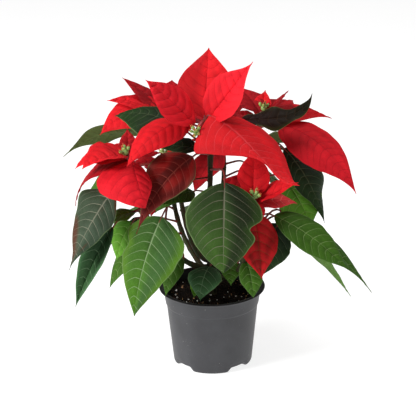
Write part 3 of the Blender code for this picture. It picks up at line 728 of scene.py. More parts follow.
def blade(gather, walk, form, look, seed):
    """A thin blade of two skins that meet at its margin, quilted between its side veins."""
    large = form["length"] * form["width"] > FINE_BLADE
    columns, rows = FINE_GRID if large else PLAIN_GRID
    spread = np.linspace(-1.0, 1.0, columns + 1)
    across = np.sign(spread) * np.abs(spread) ** 1.3
    along = np.linspace(0.0, 1.0, rows + 1)
    middle = np.array([[blade_point(walk, form, u, v, seed) for v in across] for u in along])
    normal = np.cross(np.gradient(middle, axis=0), np.gradient(middle, axis=1))
    normal /= np.linalg.norm(normal, axis=2, keepdims=True) + 1e-9
    u, v = np.meshgrid(along, across, indexing="ij")
    reach = np.array([[half_width(a, form, 1 if b >= 0 else -1) for b in across] for a in along])
    sideways = reach * np.abs(v)
    pairs = max(5, min(12, round(form["length"] / VEIN_SPACING)))
    draw = random.Random(seed)
    drift = 0.35 * np.clip(np.abs(v) / 0.3, 0, 1) * (v < 0)
    phase = pairs * (u - (0.50 + 0.35 * np.abs(v) ** 2) * sideways / form["length"]) + drift
    phase += 0.13 * np.sin(9.0 * u + draw.uniform(0, 6)) * np.abs(v)
    from_vein = np.abs(phase - np.round(phase)) * form["length"] / pairs
    fade = (np.clip((1.0 - np.abs(v)) / 0.25, 0, 1) * np.clip(u / 0.06, 0, 1)
            * np.clip((1 - u) / 0.08, 0, 1))
    swell = look["quilt"] * fade * (1.0 - 1.6 * np.exp(-(from_vein / 1.3) ** 2))
    groove = -GROOVE_DEPTH * np.exp(-(sideways / 1.2) ** 2) * (1 - u) ** 0.5
    rib = RIB_DEPTH * np.exp(-(sideways / 1.1) ** 2) * (1 - u) ** 0.8
    half = HALF_THICKNESS * (1.0 - 0.5 * np.abs(v) ** 3)
    top = middle + normal * (swell + groove + half)[..., None]
    under = middle + normal * (swell + groove - half - rib)[..., None]
    rim = np.ones_like(u, dtype=bool)
    rim[1:-1, 1:-1] = False
    top[rim] = middle[rim]
    stride = columns + 1
    order = np.arange((rows + 1) * stride).reshape(rows + 1, stride)
    lower = order.copy()
    lower[~rim] = order.size + np.arange((~rim).sum())
    faces = []
    for i in range(rows):
        for j in range(columns):
            faces.append((order[i, j], order[i + 1, j], order[i + 1, j + 1], order[i, j + 1]))
            faces.append((lower[i, j], lower[i, j + 1], lower[i + 1, j + 1], lower[i + 1, j]))
    places = np.concatenate([top.reshape(-1, 3), under[~rim]])
    tint = blade_tints(look, u, v, seed)
    skin = np.concatenate([np.zeros(order.size), np.ones((~rim).sum())])
    veins = np.stack([phase.ravel(), v.ravel(), u.ravel()], axis=1)
    spot = np.stack([u.ravel() * form["length"], (v * reach).ravel(),
                     np.full(order.size, seed * 7.3)], axis=1)
    inside = (~rim).ravel()
    rib_colour = np.tile(np.array(look["rib"]), (len(places), 1))
    gather.add(places, faces, 0, blade_tint=np.concatenate([tint, tint[inside]]),
               blade_veins=np.concatenate([veins, veins[inside]]),
               blade_spot=np.concatenate([spot, spot[inside]]), blade_under=skin,
               blade_rib=rib_colour)


def petiole(gather, walk, form, kind):
    """The leaf's stalk, swollen at its foot, which runs on under the blade's base."""
    thick = 1.25 if form["length"] > LONG_BLADE else 1.0
    length = form["petiole"]
    end = length + 0.06 * form["length"]
    points, radii = [], []
    for i in range(PETIOLE_STEPS + 1):
        t = i / PETIOLE_STEPS
        place, course, slope = at_distance(walk, end * t)
        sink = smooth_step((t * end - length * 0.8) / (length * 0.2 + 2.0))
        points.append(place - Vector((0.0, 0.0, 0.9 * sink)))
        radii.append(thick * (1.35 - 0.4 * smooth_step(t * 5) - 0.25 * smooth_step(t * 1.4 - 0.4)))
    tube(gather, points, radii, kind, 8)


def bezier(points, steps):
    p0, p1, p2, p3 = points
    return [p0 * (1 - t) ** 3 + p1 * 3 * t * (1 - t) ** 2 + p2 * 3 * t * t * (1 - t) + p3 * t ** 3
            for t in (i / steps for i in range(steps + 1))]


def along_path(points, share):
    """The place at a share of the way along a list of points."""
    spans = [(b - a).length for a, b in zip(points, points[1:])]
    left = share * sum(spans)
    for a, b, span in zip(points, points[1:], spans):
        if left <= span:
            return a.lerp(b, left / span)
        left -= span
    return points[-1].copy()


def thicken(radii_at, shares, steps):
    """Radii along a stem, with a swelling where each leaf grows."""
    return [radii_at(t) * (1 + sum(0.16 * math.exp(-((t - s) / 0.02) ** 2) for s in shares))
            for t in (i / steps for i in range(steps + 1))]


# How each leaf looks, as linear colours: along the blade, its midrib and veins, and more
LEAF_LOOKS = {
    "mid": dict(base=(0.026, 0.074, 0.006), tip=(0.040, 0.110, 0.008), rib=(0.20, 0.30, 0.10)),
    # dark: a nearly black green, partly the leaf's own dark green and partly painted shade for
    # leaves deep inside the plant
    "dark": dict(base=(0.004, 0.010, 0.003), tip=(0.010, 0.030, 0.005), rib=(0.08, 0.10, 0.05)),
    # front: the darker colour of its left half is painted shade
    "front": dict(base=(0.012, 0.028, 0.006), tip=(0.032, 0.078, 0.010), rib=(0.17, 0.16, 0.11),
                  left=(0.003, 0.006, 0.002), edge=(0.022, 0.052, 0.008)),
    "blue": dict(base=(0.016, 0.046, 0.018), tip=(0.030, 0.080, 0.026), rib=(0.16, 0.26, 0.14),
                 edge=(0.05, 0.13, 0.05)),
    "light": dict(base=(0.062, 0.185, 0.014), tip=(0.092, 0.25, 0.018), rib=(0.24, 0.38, 0.10)),
    # sunny: the greyer, bluer colour of its left half is a painted sheen
    "sunny": dict(base=(0.030, 0.082, 0.014), tip=(0.052, 0.15, 0.008), rib=(0.26, 0.36, 0.18),
                  left=(0.036, 0.092, 0.024), edge=(0.072, 0.17, 0.010)),
    "bronze": dict(base=(0.020, 0.034, 0.016), tip=(0.044, 0.070, 0.040), rib=(0.22, 0.22, 0.16),
                   patch=(0.070, 0.026, 0.014), left=(0.030, 0.052, 0.030)),
    "olive": dict(base=(0.050, 0.056, 0.005), tip=(0.085, 0.086, 0.007), rib=(0.15, 0.09, 0.035),
                  edge=(0.10, 0.11, 0.015)),
    "maroon": dict(base=(0.23, 0.007, 0.006), tip=(0.11, 0.010, 0.008), rib=(0.28, 0.05, 0.035),
                   edge=(0.16, 0.030, 0.022), patch=(0.075, 0.006, 0.005)),
    # A red-brown leaf with olive margins, darkened almost to black by painted shade
    "dusk_in_painted_shade": dict(base=(0.018, 0.002, 0.002), tip=(0.010, 0.010, 0.003), rib=(0.06, 0.03, 0.015),
                 edge=(0.030, 0.028, 0.006)),
}
LOOK_DEFAULTS = dict(quilt=0.44)


def leaf_material(name, roughness, gloss, vein_share, net_share, rim_share, under):
    """A blade's skin: veins by its own attributes, a fine net, and a paler underside."""
    skin = Finish(name, Specular_IOR_Level=gloss)
    phase, across, gone = (
        skin.node("ShaderNodeSeparateXYZ", None,
                  {"Vector": skin.attribute("blade_veins", "Vector")}, i) for i in range(3))
    spot = skin.attribute("blade_spot", "Vector")
    side = skin.attribute("blade_under").step(0.35, 0.65)
    away = abs(across)
    line = abs(phase.maths("FRACT") - 0.5) * -1.0 + 0.5
    wide = (1.0 - away * 0.75) * 0.060 + 0.014
    side_vein = (line / wide).step(1.0, 0.3) * away.step(1.0, 0.8) * gone.step(0.0, 0.04)
    rib = (1.0 - (away / ((1.0 - gone) * 0.036 + 0.008)).clamp()) ** 0.7
    veins = rib.maths("MAXIMUM", side_vein * 0.75)
    net = skin.cells(spot, 0.42, "DISTANCE_TO_EDGE").step(0.10, 0.0)
    net = net.maths("MAXIMUM", skin.cells(spot, 0.9, "DISTANCE_TO_EDGE").step(0.09, 0.0) * 0.6)
    mottle = skin.noise(spot, 0.16, 5.0, 0.6)
    colour = skin.mix((0.78, 0.78, 0.78), (1.22, 1.22, 1.22), mottle)
    colour = skin.mix(skin.attribute("blade_tint", "Color"), colour, 1.0, "MULTIPLY")
    pale = skin.attribute("blade_rib", "Color")
    colour = skin.mix(colour, pale, net * net_share)
    colour = skin.mix(colour, pale, veins * vein_share)
    colour = skin.mix(colour, under, away.step(0.945, 0.985) * rim_share)
    colour = skin.mix(colour, skin.mix(colour, under, 0.5), side)
    skin.set(Base_Color=colour,
             Roughness=mottle * 0.16 + side * 0.2 + (roughness - 0.08))
    height = (veins * -1.0 + 1.0) * (1.0 - side * 2.0) + net * -0.22 + mottle * 0.2
    skin.bump(height, 0.5, 0.55)
    return skin


leaf_skin = leaf_material("leaf_skin", 0.54, 0.10, 0.70, 0.07, 0.6, (0.14, 0.21, 0.08))
petiole_skin = Finish("petiole_skin", Roughness=0.5, Specular_IOR_Level=0.25)
petiole_skin.tint((0.16, 0.018, 0.012), (0.11, 0.085, 0.018),
                  petiole_skin.noise(petiole_skin.here(), 60.0).step(0.55, 0.75))
stem_skin = Finish("stem_skin", Roughness=0.62, Specular_IOR_Level=0.15)
here = stem_skin.here()
grey = stem_skin.noise(stem_skin.stretched(here, (400.0, 400.0, 90.0)), 1.0, 4.0)
young = stem_skin.mix((0.018, 0.028, 0.008), (0.045, 0.022, 0.010), grey.step(0.4, 0.7))
stem_skin.tint(young, (0.07, 0.055, 0.03), stem_skin.cells(here, 420.0).step(0.2, 0.1) * 0.6)
stem_skin.bump(grey, 0.3)


def grow_blades(gather, stalks, path, rows, looks, table, seed, kind=1):
    """Lay a shoot's petioles and blades, each with its own look."""
    for i, (share, heading, own) in enumerate(rows):
        form = {**BLADE, **own}
        walk = midrib(along_path(path, share), heading, form)
        petiole(stalks, walk, form, kind)
        look = {**LOOK_DEFAULTS, **table[looks[i % len(looks)]]}
        blade(gather, walk, form, look, seed + i * 3.7)


trunk_rows = [
    (0.78, -88, dict(rise=28, petiole=26, turn=-26, slope=-8, bend=84, length=43, width=38, fold=4,
        cup=-22)),
    (0.62, -118, dict(rise=16, petiole=22, slope=-6, bend=50, length=24, width=18)),
    (0.72, 14, dict(rise=30, petiole=24, slope=0, bend=40, length=38, width=30)),
]
trunk_path = [Vector((0.0, 0.0, TRUNK_FOOT + (TRUNK_TOP - TRUNK_FOOT) * i / 4)) for i in range(5)]
trunk = Gather()
trunk_leaves = Gather()
scars = (0.48, 0.55, 0.62, 0.68, 0.72, 0.78, 0.85, 0.93)
rise = [along_path(trunk_path, i / STEM_STEPS) for i in range(STEM_STEPS + 1)]
pinch = STEM_STEPS - 3
tube(trunk, rise, [r * (1 - 0.5 * smooth_step((i - pinch) / 3)) for i, r in enumerate(
    thicken(lambda t: 5.5 - 0.6 * t, scars, STEM_STEPS))], 0, 20)
grow_blades(trunk_leaves, trunk, trunk_path, trunk_rows, ["blue", "light", "mid"], LEAF_LOOKS,
            100.0)
woody = Finish("woody_stem", Roughness=0.8, Specular_IOR_Level=0.15)
fissures = woody.noise(woody.stretched(woody.here(), (500.0, 500.0, 120.0)), 1.0, 5.0, 0.65)
woody.tint((0.012, 0.012, 0.006), (0.060, 0.050, 0.026), fissures.step(0.38, 0.7))
woody.bump(fissures, 0.8)
settle(trunk.piece("woody_stem", woody, petiole_skin), "stem_green", "main_stem")
settle(trunk_leaves.piece("woody_stem_leaves", leaf_skin), "leaf_green")

# The seven leafy shoots
# Each grew from a bud of the main stem after the pinch: a green stem with leaves on long red
# stalks. The front leaves lie as the plant's own do.
STEM_RADIUS = 2.9
JOINT_GAP = 0.5            # where one stem stands on another
# Where each leaves the main stem (height, heading), where its green stem ends, how its flower
# stalk bends over, where its crown of cyathia lies and which way that faces
SHOOTS = {
    "a": dict(leaves=(118, -100), seat=(0, -14, 248), bends=(-3, -32, 290), crown=(-12, -49, 273),
              faces=(-0.3, -0.7, 0.6), buds=6),
    "b": dict(leaves=(108, -155), seat=(-76, -38, 226), bends=(-81, -42, 240),
              crown=(-84, -45, 247), faces=(-0.33, -0.25, 0.91), buds=4),
    "c": dict(leaves=(113, 145), seat=(-38, 43, 247), bends=(-41, 46, 261), crown=(-43, 48, 268),
              faces=(-0.25, 0.15, 0.95), buds=4),
    "d": dict(leaves=(121, 35), seat=(51, 32, 246), bends=(54, 34, 261), crown=(56, 35, 268),
              faces=(0.22, 0.12, 0.97), buds=4),
    "e": dict(leaves=(99, -52), seat=(39, -48, 180), bends=(42, -53, 194), crown=(44, -55, 202),
              faces=(0.2, -0.3, 0.93), buds=4),
    "f": dict(leaves=(106, 80), seat=(15, 75, 206), bends=(17, 81, 220), crown=(18, 84, 228),
              faces=(0.1, 0.4, 0.91), buds=4),
    "g": dict(leaves=(98, 118), seat=(-43, 76, 183), bends=(-48, 83, 197), crown=(-50, 86, 204),
              faces=(-0.3, 0.42, 0.86), buds=4),
}
# Leaves: (share of the stem, heading, own values), each as it grew
LEAVES = {
    "a": [
        (0.80, -66, dict(rise=16, petiole=50, turn=-28, slope=-52, bend=34, length=92, width=78,
            fold=6, cup=-20, widest=0.38, taper=0.85, notch=0.28, notch_at=0.52, wave=0.06)),
        (0.90, 170, dict(rise=40, petiole=14, slope=12, bend=24, length=46, width=30, roll=-16)),
        (0.92, -134, dict(rise=16, petiole=26, turn=-6, slope=-20, bend=44, length=102, width=48,
            roll=-32, fold=2, cup=-18, widest=0.26, taper=2.0, lop=-0.12)),
        (0.86, 8, dict(rise=70, petiole=58, slope=0, bend=6, flick=96, length=86, width=28,
            roll=30, fold=8, wave=0.25, waves=2.4)),
        (0.95, 178, dict(rise=40, petiole=48, turn=-12, slope=26, bend=46, length=64, width=50,
            roll=-18, fold=4, cup=-20, lop=0.25)),
        (0.62, -146, dict(rise=20, petiole=22, slope=4, bend=30, length=44, width=40, roll=-10)),
        (0.74, -160, dict(rise=0, petiole=26, slope=-26, bend=26, length=46, width=34, roll=-14)),
    ],
    "b": [
        (0.42, -60, dict(rise=78, petiole=66, turn=-70, slope=-50, bend=30, length=106, width=62,
            roll=-30, fold=6, cup=-14, widest=0.25, taper=1.1, lop=0.12, notch=-0.2,
            notch_at=0.34)),
        (0.93, -146, dict(rise=4, petiole=30, slope=-44, bend=20, length=92, width=56, roll=-26,
            fold=-6, cup=-26, wave=0.1, waves=2.2, widest=0.28, skew=0.08, taper=1.9, lop=-0.3)),
        (0.74, -168, dict(rise=-22, petiole=38, turn=28, slope=-48, bend=16, length=90, width=32,
            roll=-30, fold=40, cup=-6, taper=1.3)),
        (0.50, 172, dict(rise=50, petiole=36, turn=8, slope=-56, bend=24, length=46, width=32,
            roll=-60)),
        (0.70, -162, dict(rise=14, petiole=10, slope=-4, bend=24, length=38, width=34)),
        (0.20, -90, dict(rise=56, petiole=18, turn=-38, slope=-36, bend=36, length=46, width=26)),
    ],
    "c": [
        (0.94, -176, dict(rise=16, petiole=26, slope=14, bend=58, length=102, width=40, roll=46,
            taper=1.9, wave=0.12)),
        (0.72, 176, dict(rise=10, petiole=46, turn=8, slope=-24, bend=44, length=90, width=46,
            roll=-20)),
    ],
    "d": [
        (0.62, -24, dict(rise=26, petiole=44, slope=-50, bend=20, length=56, width=54, roll=40,
            cup=-10)),
        (0.92, -36, dict(rise=12, petiole=34, turn=18, slope=-46, bend=30, length=92, width=52,
            roll=28, fold=-8, cup=-26, wave=0.12, waves=2.0, taper=1.6, lop=0.4)),
        (0.97, 0, dict(rise=6, petiole=10, slope=-4, bend=40, length=34, width=28, roll=-40)),
        (0.84, 34, dict(rise=10, petiole=28, slope=-20, bend=46, length=78, width=50)),
    ],
    "e": [
        (0.84, -11, dict(rise=56, petiole=37, slope=-24, bend=24, length=92, width=42, roll=30,
            fold=8, taper=0.95)),
        (0.84, 14, dict(rise=32, petiole=46, turn=-14, slope=-32, bend=24, length=124, width=34,
            roll=16, taper=2.1)),
        (0.66, 28, dict(rise=38, petiole=56, turn=-24, slope=-42, bend=16, length=106, width=32,
            roll=-30, taper=2.0)),
        (0.76, 26, dict(rise=46, petiole=66, turn=-172, slope=-62, bend=14, length=56, width=48,
            roll=-72, taper=0.9)),
        (0.30, 60, dict(rise=66, petiole=28, turn=208, slope=-35, bend=40, length=30, width=22)),
        (0.30, -12, dict(rise=70, petiole=32, turn=-60, slope=-38, bend=46, length=40, width=26,
            taper=1.0)),
    ],
}
# Leaves of the back shoots fan out evenly: the fan's middle heading, how many, seed
BACK_LEAVES = {"f": (55.0, 5, 21), "g": (152.0, 5, 34)}


def back_leaves(first, count, seed):
    draw = random.Random(seed)
    rows = []
    for i in range(count):
        heading = first + (i - (count - 1) / 2) * 150 / count
        rows.append((0.94 - 0.11 * i, heading,
                     dict(rise=16, petiole=24 + 3 * i, slope=draw.uniform(-24, -14),
                          bend=draw.uniform(40, 52), length=draw.uniform(66, 80),
                          width=draw.uniform(42, 50), roll=draw.uniform(-10, 10))))
    return rows


LOOKS = {
    "a": ["front", "dark", "maroon", "dusk_in_painted_shade", "dark", "mid", "mid"],
    "b": ["sunny", "bronze", "blue", "light", "light", "mid"],
    "c": ["olive", "mid"],
    "d": ["light", "dark", "olive", "mid"],
    "e": ["mid", "mid", "light", "dark", "mid", "mid"],
    "f": ["mid", "dark", "blue"],
    "g": ["dark", "mid", "light"],
}


def shoot_paths(shoot):
    """The green stem's path and the flower stalk's, as in the CAD model."""
    height, heading = shoot["leaves"]
    seat, bends, crown = (Vector(shoot[end]) for end in ("seat", "bends", "crown"))
    up = Vector((0.0, 0.0, 1.0))
    out = direction(heading, 0.0)
    foot = out * (TRUNK_RADIUS + 2 * JOINT_GAP) + up * height
    stalk_foot = seat + up * JOINT_GAP
    stem = (foot, foot + out * 26, seat - up * 62, seat)
    stalk = (stalk_foot + up * 4, stalk_foot + up * 9, bends, crown)
    return stem, stalk


for name, shoot in SHOOTS.items():
    curve, _ = shoot_paths(shoot)
    rows = LEAVES[name] if name in LEAVES else back_leaves(*BACK_LEAVES[name])
    stem, leaves = Gather(), Gather()
    shares = [row[0] for row in rows] + [0.15, 0.28, 0.42]
    tube(stem, bezier(curve, STEM_STEPS),
         thicken(lambda t: STEM_RADIUS - 0.48 * t, shares, STEM_STEPS), 0, 14)
    grow_blades(leaves, stem, bezier(curve, 8), rows, LOOKS[name], LEAF_LOOKS,
                10.0 * ord(name))
    settle(stem.piece(f"shoot_{name}_stem", stem_skin, petiole_skin), "leaf_green",
           f"leafy_stem_{name}")
    settle(leaves.piece(f"shoot_{name}_leaves", leaf_skin), "leaf_green",
           f"leafy_stem_{name}")

# The seven blooms
# Red bracts, which are coloured leaves, spread from the top of each flower stalk. They are
# thinner and softer than the green leaves, with sunken darker veins.
GOLDEN_ANGLE = 137.5       # from one bract or flower to the next round a stalk
# Bracts: (share of the flower stalk, heading, own values), front ones as they grew
BRACTS = {
    "a": [
        (0.70, 76, dict(rise=66, petiole=4, slope=74, bend=4, length=71, width=60, fold=8, cup=-6,
            taper=1.2)),
        (0.90, -174, dict(rise=20, petiole=6, slope=49, bend=8, length=68, width=40, roll=-46,
            fold=10, widest=0.46)),
        (0.66, -10, dict(rise=44, petiole=4, slope=53, bend=0, length=77, width=50, roll=54,
            fold=24, cup=-8, taper=1.7, lop=-0.12)),
        (0.56, 178, dict(rise=30, petiole=12, turn=39, slope=8, bend=60, length=96, width=48,
            roll=-20, fold=-8, cup=-30, widest=0.42, lop=-0.25)),
        (0.66, -44, dict(rise=66, petiole=12, slope=-8, bend=71, flick=86, length=130, width=84,
            roll=16, fold=-10, cup=-20, widest=0.3, skew=0.11, taper=1.3, wave=0.04, lop=-0.06,
            notch=-0.95, notch_at=0.66, notch_span=0.28)),
        (0.50, 16, dict(rise=30, petiole=4, slope=32, bend=22, length=42, width=34, roll=8)),
        (0.45, 125, dict(rise=20, petiole=4, slope=16, bend=22, length=46, width=36)),
    ],
    "b": [
        (0.70, -76, dict(rise=0, petiole=4, slope=-14, bend=50, sweep=30, length=60, width=58,
            roll=-8, fold=-2, cup=-24, widest=0.46, taper=0.8, lop=-0.4)),
        (0.74, -150, dict(rise=25, petiole=4, slope=22, bend=54, length=52, width=52, fold=20,
            lop=-0.2)),
        (0.66, 176, dict(rise=30, petiole=4, slope=24, bend=76, length=60, width=38, roll=-15)),
        (0.84, 95, dict(rise=60, petiole=4, slope=62, bend=10, length=26, width=18)),
        (0.42, 164, dict(rise=8, petiole=5, slope=0, bend=84, length=88, width=36, roll=-12,
            taper=1.6)),
        (0.62, 15, dict(rise=30, petiole=4, slope=20, bend=30, length=30, width=24)),
        (0.45, 105, dict(rise=35, petiole=4, slope=25, bend=40, length=46, width=32, roll=12)),
    ],
    "c": [
        (0.62, 152, dict(rise=36, petiole=5, slope=36, bend=10, length=66, width=36)),
        (0.72, 183, dict(rise=35, petiole=5, slope=28, bend=30, length=66, width=38, roll=-14)),
        (0.60, -156, dict(rise=32, petiole=5, slope=28, bend=74, length=84, width=54, roll=-26,
            cup=-30)),
        (0.66, 90, dict(rise=40, petiole=5, slope=40, bend=20, length=50, width=46, roll=10)),
        (0.50, 126, dict(rise=30, petiole=5, slope=20, bend=45, length=64, width=44)),
        (0.42, 40, dict(rise=30, petiole=5, slope=20, bend=40, length=48, width=36)),
    ],
    "d": [
        (0.20, -20, dict(rise=22, petiole=24, turn=-10, slope=-6, bend=60, length=116, width=54,
            roll=22, fold=4, cup=-16, widest=0.38, taper=1.5, lop=-0.18)),
        (0.80, 122, dict(rise=38, petiole=4, slope=38, bend=24, length=44, width=40)),
        (0.50, 76, dict(rise=40, petiole=4, slope=44, bend=6, length=37, width=22, fold=30)),
        (0.60, -16, dict(rise=38, petiole=4, slope=44, bend=-10, length=42, width=30, roll=10)),
        (0.64, 48, dict(rise=30, petiole=4, slope=24, bend=34, length=54, width=42)),
        (0.56, 4, dict(rise=20, petiole=5, slope=18, bend=40, length=74, width=38, roll=14,
            taper=1.7)),
        (0.60, 174, dict(rise=28, petiole=4, slope=18, bend=30, length=36, width=32)),
    ],
    "e": [
        (0.78, 86, dict(rise=50, petiole=4, slope=68, bend=6, length=52, width=34, fold=16)),
        (0.66, 168, dict(rise=35, petiole=4, slope=46, bend=10, length=36, width=42, roll=-44,
            fold=12, lop=-0.2)),
        (0.70, -6, dict(rise=25, petiole=4, slope=30, bend=6, length=48, width=32, roll=14,
            fold=26)),
        (0.80, -50, dict(rise=10, petiole=5, slope=-50, bend=20, length=18, width=15)),
        (0.35, -62, dict(rise=0, petiole=8, turn=-12, slope=-56, bend=24, length=68, width=44,
            fold=10, cup=-24, taper=1.2, wave=0.1)),
        (0.56, 14, dict(rise=26, petiole=4, slope=20, bend=52, length=47, width=28, roll=18,
            cup=-34)),
    ],
}
# Bracts of the back shoots follow the golden angle: first heading, how many, seed
BACK_BRACTS = {"f": (40.0, 5, 5), "g": (60.0, 5, 8)}
BRACT_LOOKS = {
    "red": dict(base=(0.44, 0.005, 0.009), tip=(0.56, 0.007, 0.012), rib=(0.28, 0.003, 0.009),
                quilt=0.60),
    "shaded": dict(base=(0.50, 0.006, 0.010), tip=(0.60, 0.008, 0.013), rib=(0.30, 0.004, 0.01),
                   left=(0.34, 0.004, 0.007)),
    "bright": dict(base=(0.56, 0.008, 0.015), tip=(0.68, 0.012, 0.022), rib=(0.34, 0.004, 0.014),
                   quilt=0.66),
    "ribbed": dict(base=(0.42, 0.005, 0.008), tip=(0.44, 0.005, 0.008), rib=(0.62, 0.06, 0.07),
                   left=(0.62, 0.007, 0.012), quilt=0.66),
    # A darker copy of the red: painted shade on the bracts that lie in shade behind and under the
    # blooms
    "deep": dict(base=(0.22, 0.003, 0.006), tip=(0.34, 0.005, 0.009), rib=(0.16, 0.003, 0.006)),
    "flushed": dict(base=(0.38, 0.006, 0.009), tip=(0.48, 0.007, 0.011), rib=(0.07, 0.055, 0.015),
                    patch=(0.26, 0.005, 0.007)),
    "pink": dict(base=(0.46, 0.012, 0.018), tip=(0.55, 0.03, 0.035), rib=(0.75, 0.26, 0.24)),
}
BLOOM_LOOKS = {
    "a": ["shaded", "bright", "bright", "red", "ribbed", "deep", "deep"],
    "b": ["bright", "red", "red", "deep", "deep", "deep", "red"],
    "c": ["deep", "red", "red", "deep", "deep", "deep"],
    "d": ["bright", "deep", "red", "deep", "deep", "red", "deep"],
    "e": ["red", "deep", "red", "red", "flushed", "pink"],
    "f": ["red", "deep", "deep"],
    "g": ["red", "deep", "bright"],
}


def back_bracts(first, count, seed):
    draw = random.Random(seed)
    rows = []
    for i in range(count):
        lift = 34 - 12 * i
        rows.append((0.72 - 0.06 * i, first + i * GOLDEN_ANGLE,
                     dict(rise=lift, petiole=7, slope=lift - 8, bend=draw.uniform(26, 46),
                          length=38 + 6 * i + draw.uniform(-3, 3), width=28 + 3 * i,
                          roll=draw.uniform(-8, 8))))
    return rows


bract_skin = leaf_material("bract_skin", 0.66, 0.10, 0.5, 0.10, 0.0, (0.56, 0.03, 0.04))
stalk_skin = Finish("flower_stalk_skin", Roughness=0.55)
stalk_skin.tint((0.20, 0.010, 0.010), (0.10, 0.06, 0.018),
                stalk_skin.noise(stalk_skin.here(), 70.0).step(0.5, 0.75))

for name, shoot in SHOOTS.items():
    _, curve = shoot_paths(shoot)
    rows = BRACTS[name] if name in BRACTS else back_bracts(*BACK_BRACTS[name])
    foot = Vector(shoot["seat"]) + Vector((0.0, 0.0, JOINT_GAP))
    stalk, bracts = Gather(), Gather()
    fine = [foot.lerp(curve[0], i / 4) for i in range(4)] + bezier(curve, 24)
    last = len(fine) - 1
    tube(stalk, fine, [2.3 + 0.5 * (i / last) ** 2 for i in range(last + 1)], 0, 14)
    grow_blades(bracts, stalk, [foot] + bezier(curve, 4), rows, BLOOM_LOOKS[name], BRACT_LOOKS,
                7.0 * ord(name), 0)
    settle(stalk.piece(f"bloom_{name}_stalk", stalk_skin), "bract_red", f"bracts_{name}")
    settle(bracts.piece(f"bloom_{name}_bracts", bract_skin), "bract_red", f"bracts_{name}")

# The cyathia
# The true flowers: small green urns crowded on the stalk's end, each with a yellow nectar
# cup on its side and a tuft of red stamens with yellow pollen.
CYATHIUM_RADIUS = 2.0
CYATHIUM_LENGTH = 6.0
CUSHION_RADIUS = 3.4

urn_skin = Finish("cyathium_urn", Roughness=0.4)
urn_skin.tint((0.13, 0.25, 0.04), (0.36, 0.50, 0.16), urn_skin.noise(urn_skin.here(), 300.0))
nectar = Finish("nectar_cup", Roughness=0.25)
nectar.tint((0.46, 0.44, 0.05), (0.62, 0.60, 0.16), nectar.noise(nectar.here(), 500.0))
stamen = Finish("stamen_red", Roughness=0.5)
stamen.tint((0.42, 0.02, 0.015), (0.7, 0.35, 0.05),
            stamen.noise(stamen.here(), 600.0).step(0.5, 0.6))

board, given = node_tree("cyathium", "Flowers", ("Spots", "Geometry", None),
                         ("Radius", "Float", CYATHIUM_RADIUS * MM),
                         ("Length", "Float", CYATHIUM_LENGTH * MM),
                         ("Urn", "Material", urn_skin.material),
                         ("Nectar", "Material", nectar.material),
                         ("Stamen", "Material", stamen.material))
tuft = board.tree


def sphere(segments, rings, size=1.0):
    return board.node("GeometryNodeMeshUVSphere", None,
                      {"Segments": segments, "Rings": rings, "Radius": size})


def placed(shape, where, scale):
    return board.node("GeometryNodeTransform", None,
                      {"Geometry": shape, "Translation": where, "Scale": scale})


def three(x, y, z):
    return board.node("ShaderNodeCombineXYZ", None, {"X": x, "Y": y, "Z": z})


def coat(shape, finish):
    return board.node("GeometryNodeSetMaterial", None, {"Geometry": shape, "Material": finish})


def joined(*parts):
    whole = board.node("GeometryNodeJoinGeometry")
    for part in parts:
        board.tree.links.new(part.socket, whole.socket.node.inputs[0])
    return whole


def at_spot(name, kind="FLOAT_VECTOR"):
    """What each flower's spot carries under a name."""
    return board.node("GeometryNodeInputNamedAttribute", dict(data_type=kind), {"Name": name})


radius, length = given["Radius"], given["Length"]
urn = coat(placed(sphere(14, 10), three(0.0, 0.0, length * 0.5),
                  three(radius, radius, length * 0.5)), given["Urn"])
cup = coat(placed(sphere(12, 7), three(radius * 0.8, 0.0, length * 0.72),
                  three(radius * 0.32, radius * 0.46, radius * 0.38)), given["Nectar"])
thread = board.node("GeometryNodeMeshCylinder", None,
                    {"Vertices": 6, "Radius": radius * 0.09, "Depth": length * 0.3})
anther = placed(sphere(6, 4, radius * 0.2), three(0.0, 0.0, length * 0.16), (1.0, 1.0, 0.8))
ring = board.node("GeometryNodeMeshCircle", None, {"Vertices": 7, "Radius": radius * 0.45})
crown = board.node("GeometryNodeInstanceOnPoints", None, {
    "Points": ring, "Instance": joined(thread, anther),
    "Scale": board.node("FunctionNodeRandomValue", dict(data_type="FLOAT"),
                        {2: 0.7, 3: 1.25, "Seed": 5}, 1)})
crown = coat(placed(crown, three(0.0, 0.0, length), (1.0, 1.0, 1.0)), given["Stamen"])
upright = board.node("FunctionNodeAlignRotationToVector", dict(axis="Z"),
                     {"Vector": at_spot("facing")})
swung = board.node("FunctionNodeAlignRotationToVector", dict(axis="X", pivot_axis="Z"),
                   {"Rotation": upright, "Vector": at_spot("outward")})
crowd = board.node("GeometryNodeInstanceOnPoints", None,
                   {"Points": given["Spots"], "Instance": joined(urn, cup, crown),
                    "Rotation": swung, "Scale": at_spot("size", "FLOAT")})
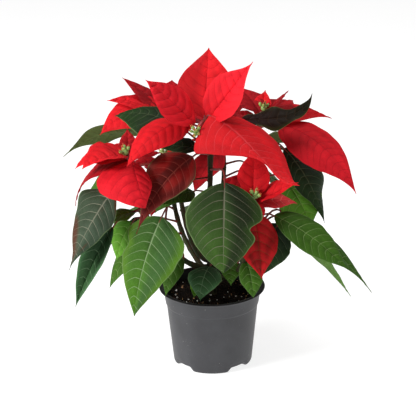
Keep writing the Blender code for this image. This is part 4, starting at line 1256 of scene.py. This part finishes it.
end_tree(board, board.node("GeometryNodeRealizeInstances", None, {"Geometry": crowd}))

for name, shoot in SHOOTS.items():
    _, curve = shoot_paths(shoot)
    stalk = bezier(curve, 4)
    end_way = (stalk[-1] - stalk[-2]).normalized()
    heart = Vector(shoot["crown"]) + end_way * (JOINT_GAP + CUSHION_RADIUS + 0.2)
    faces = Vector(shoot["faces"]).normalized()
    upright = faces.to_track_quat("Z", "Y").to_matrix()
    cushion = Gather()
    ball_mesh = bmesh.new()
    bmesh.ops.create_icosphere(ball_mesh, subdivisions=3, radius=CUSHION_RADIUS)
    cushion.add([heart + vert.co for vert in ball_mesh.verts],
                [[vert.index for vert in face.verts] for face in ball_mesh.faces])
    ball_mesh.free()
    settle(cushion.piece(f"bloom_{name}_cushion", urn_skin), "cyathia_yellow_green",
           f"cyathia_{name}")
    feet, facings, outwards, sizes = [], [], [], []
    for i in range(shoot["buds"]):
        heading = i * GOLDEN_ANGLE
        out = 0.0 if i == 0 else 2.9 + 0.4 * (i % 2)
        lean = math.radians(0.0 if i == 0 else 24.0)
        around = direction(heading, 0.0)
        axis = around * math.sin(lean) + Vector((0.0, 0.0, math.cos(lean)))
        size = 1.0 - 0.06 * i
        foot = around * out + axis * (CYATHIUM_LENGTH / 2 + 0.4 - CYATHIUM_LENGTH / 2 * size)
        feet.append((heart + upright @ foot) * MM)
        facings.append(upright @ axis)
        outwards.append(upright @ around)
        sizes.append(size)
    spots = bpy.data.meshes.new(f"bloom_{name}_flowers")
    spots.from_pydata(feet, [], [])
    for label, rows in (("facing", facings), ("outward", outwards)):
        spots.attributes.new(label, "FLOAT_VECTOR", "POINT").data.foreach_set(
            "vector", [c for row in rows for c in row])
    spots.attributes.new("size", "FLOAT", "POINT").data.foreach_set("value", sizes)
    flowers = bpy.data.objects.new(f"bloom_{name}_flowers", spots)
    scene.collection.objects.link(flowers)
    flowers.modifiers.new("cyathia", "NODES").node_group = tuft
    plain_mesh(flowers)
    settle(flowers, "cyathia_yellow_green", f"cyathia_{name}")
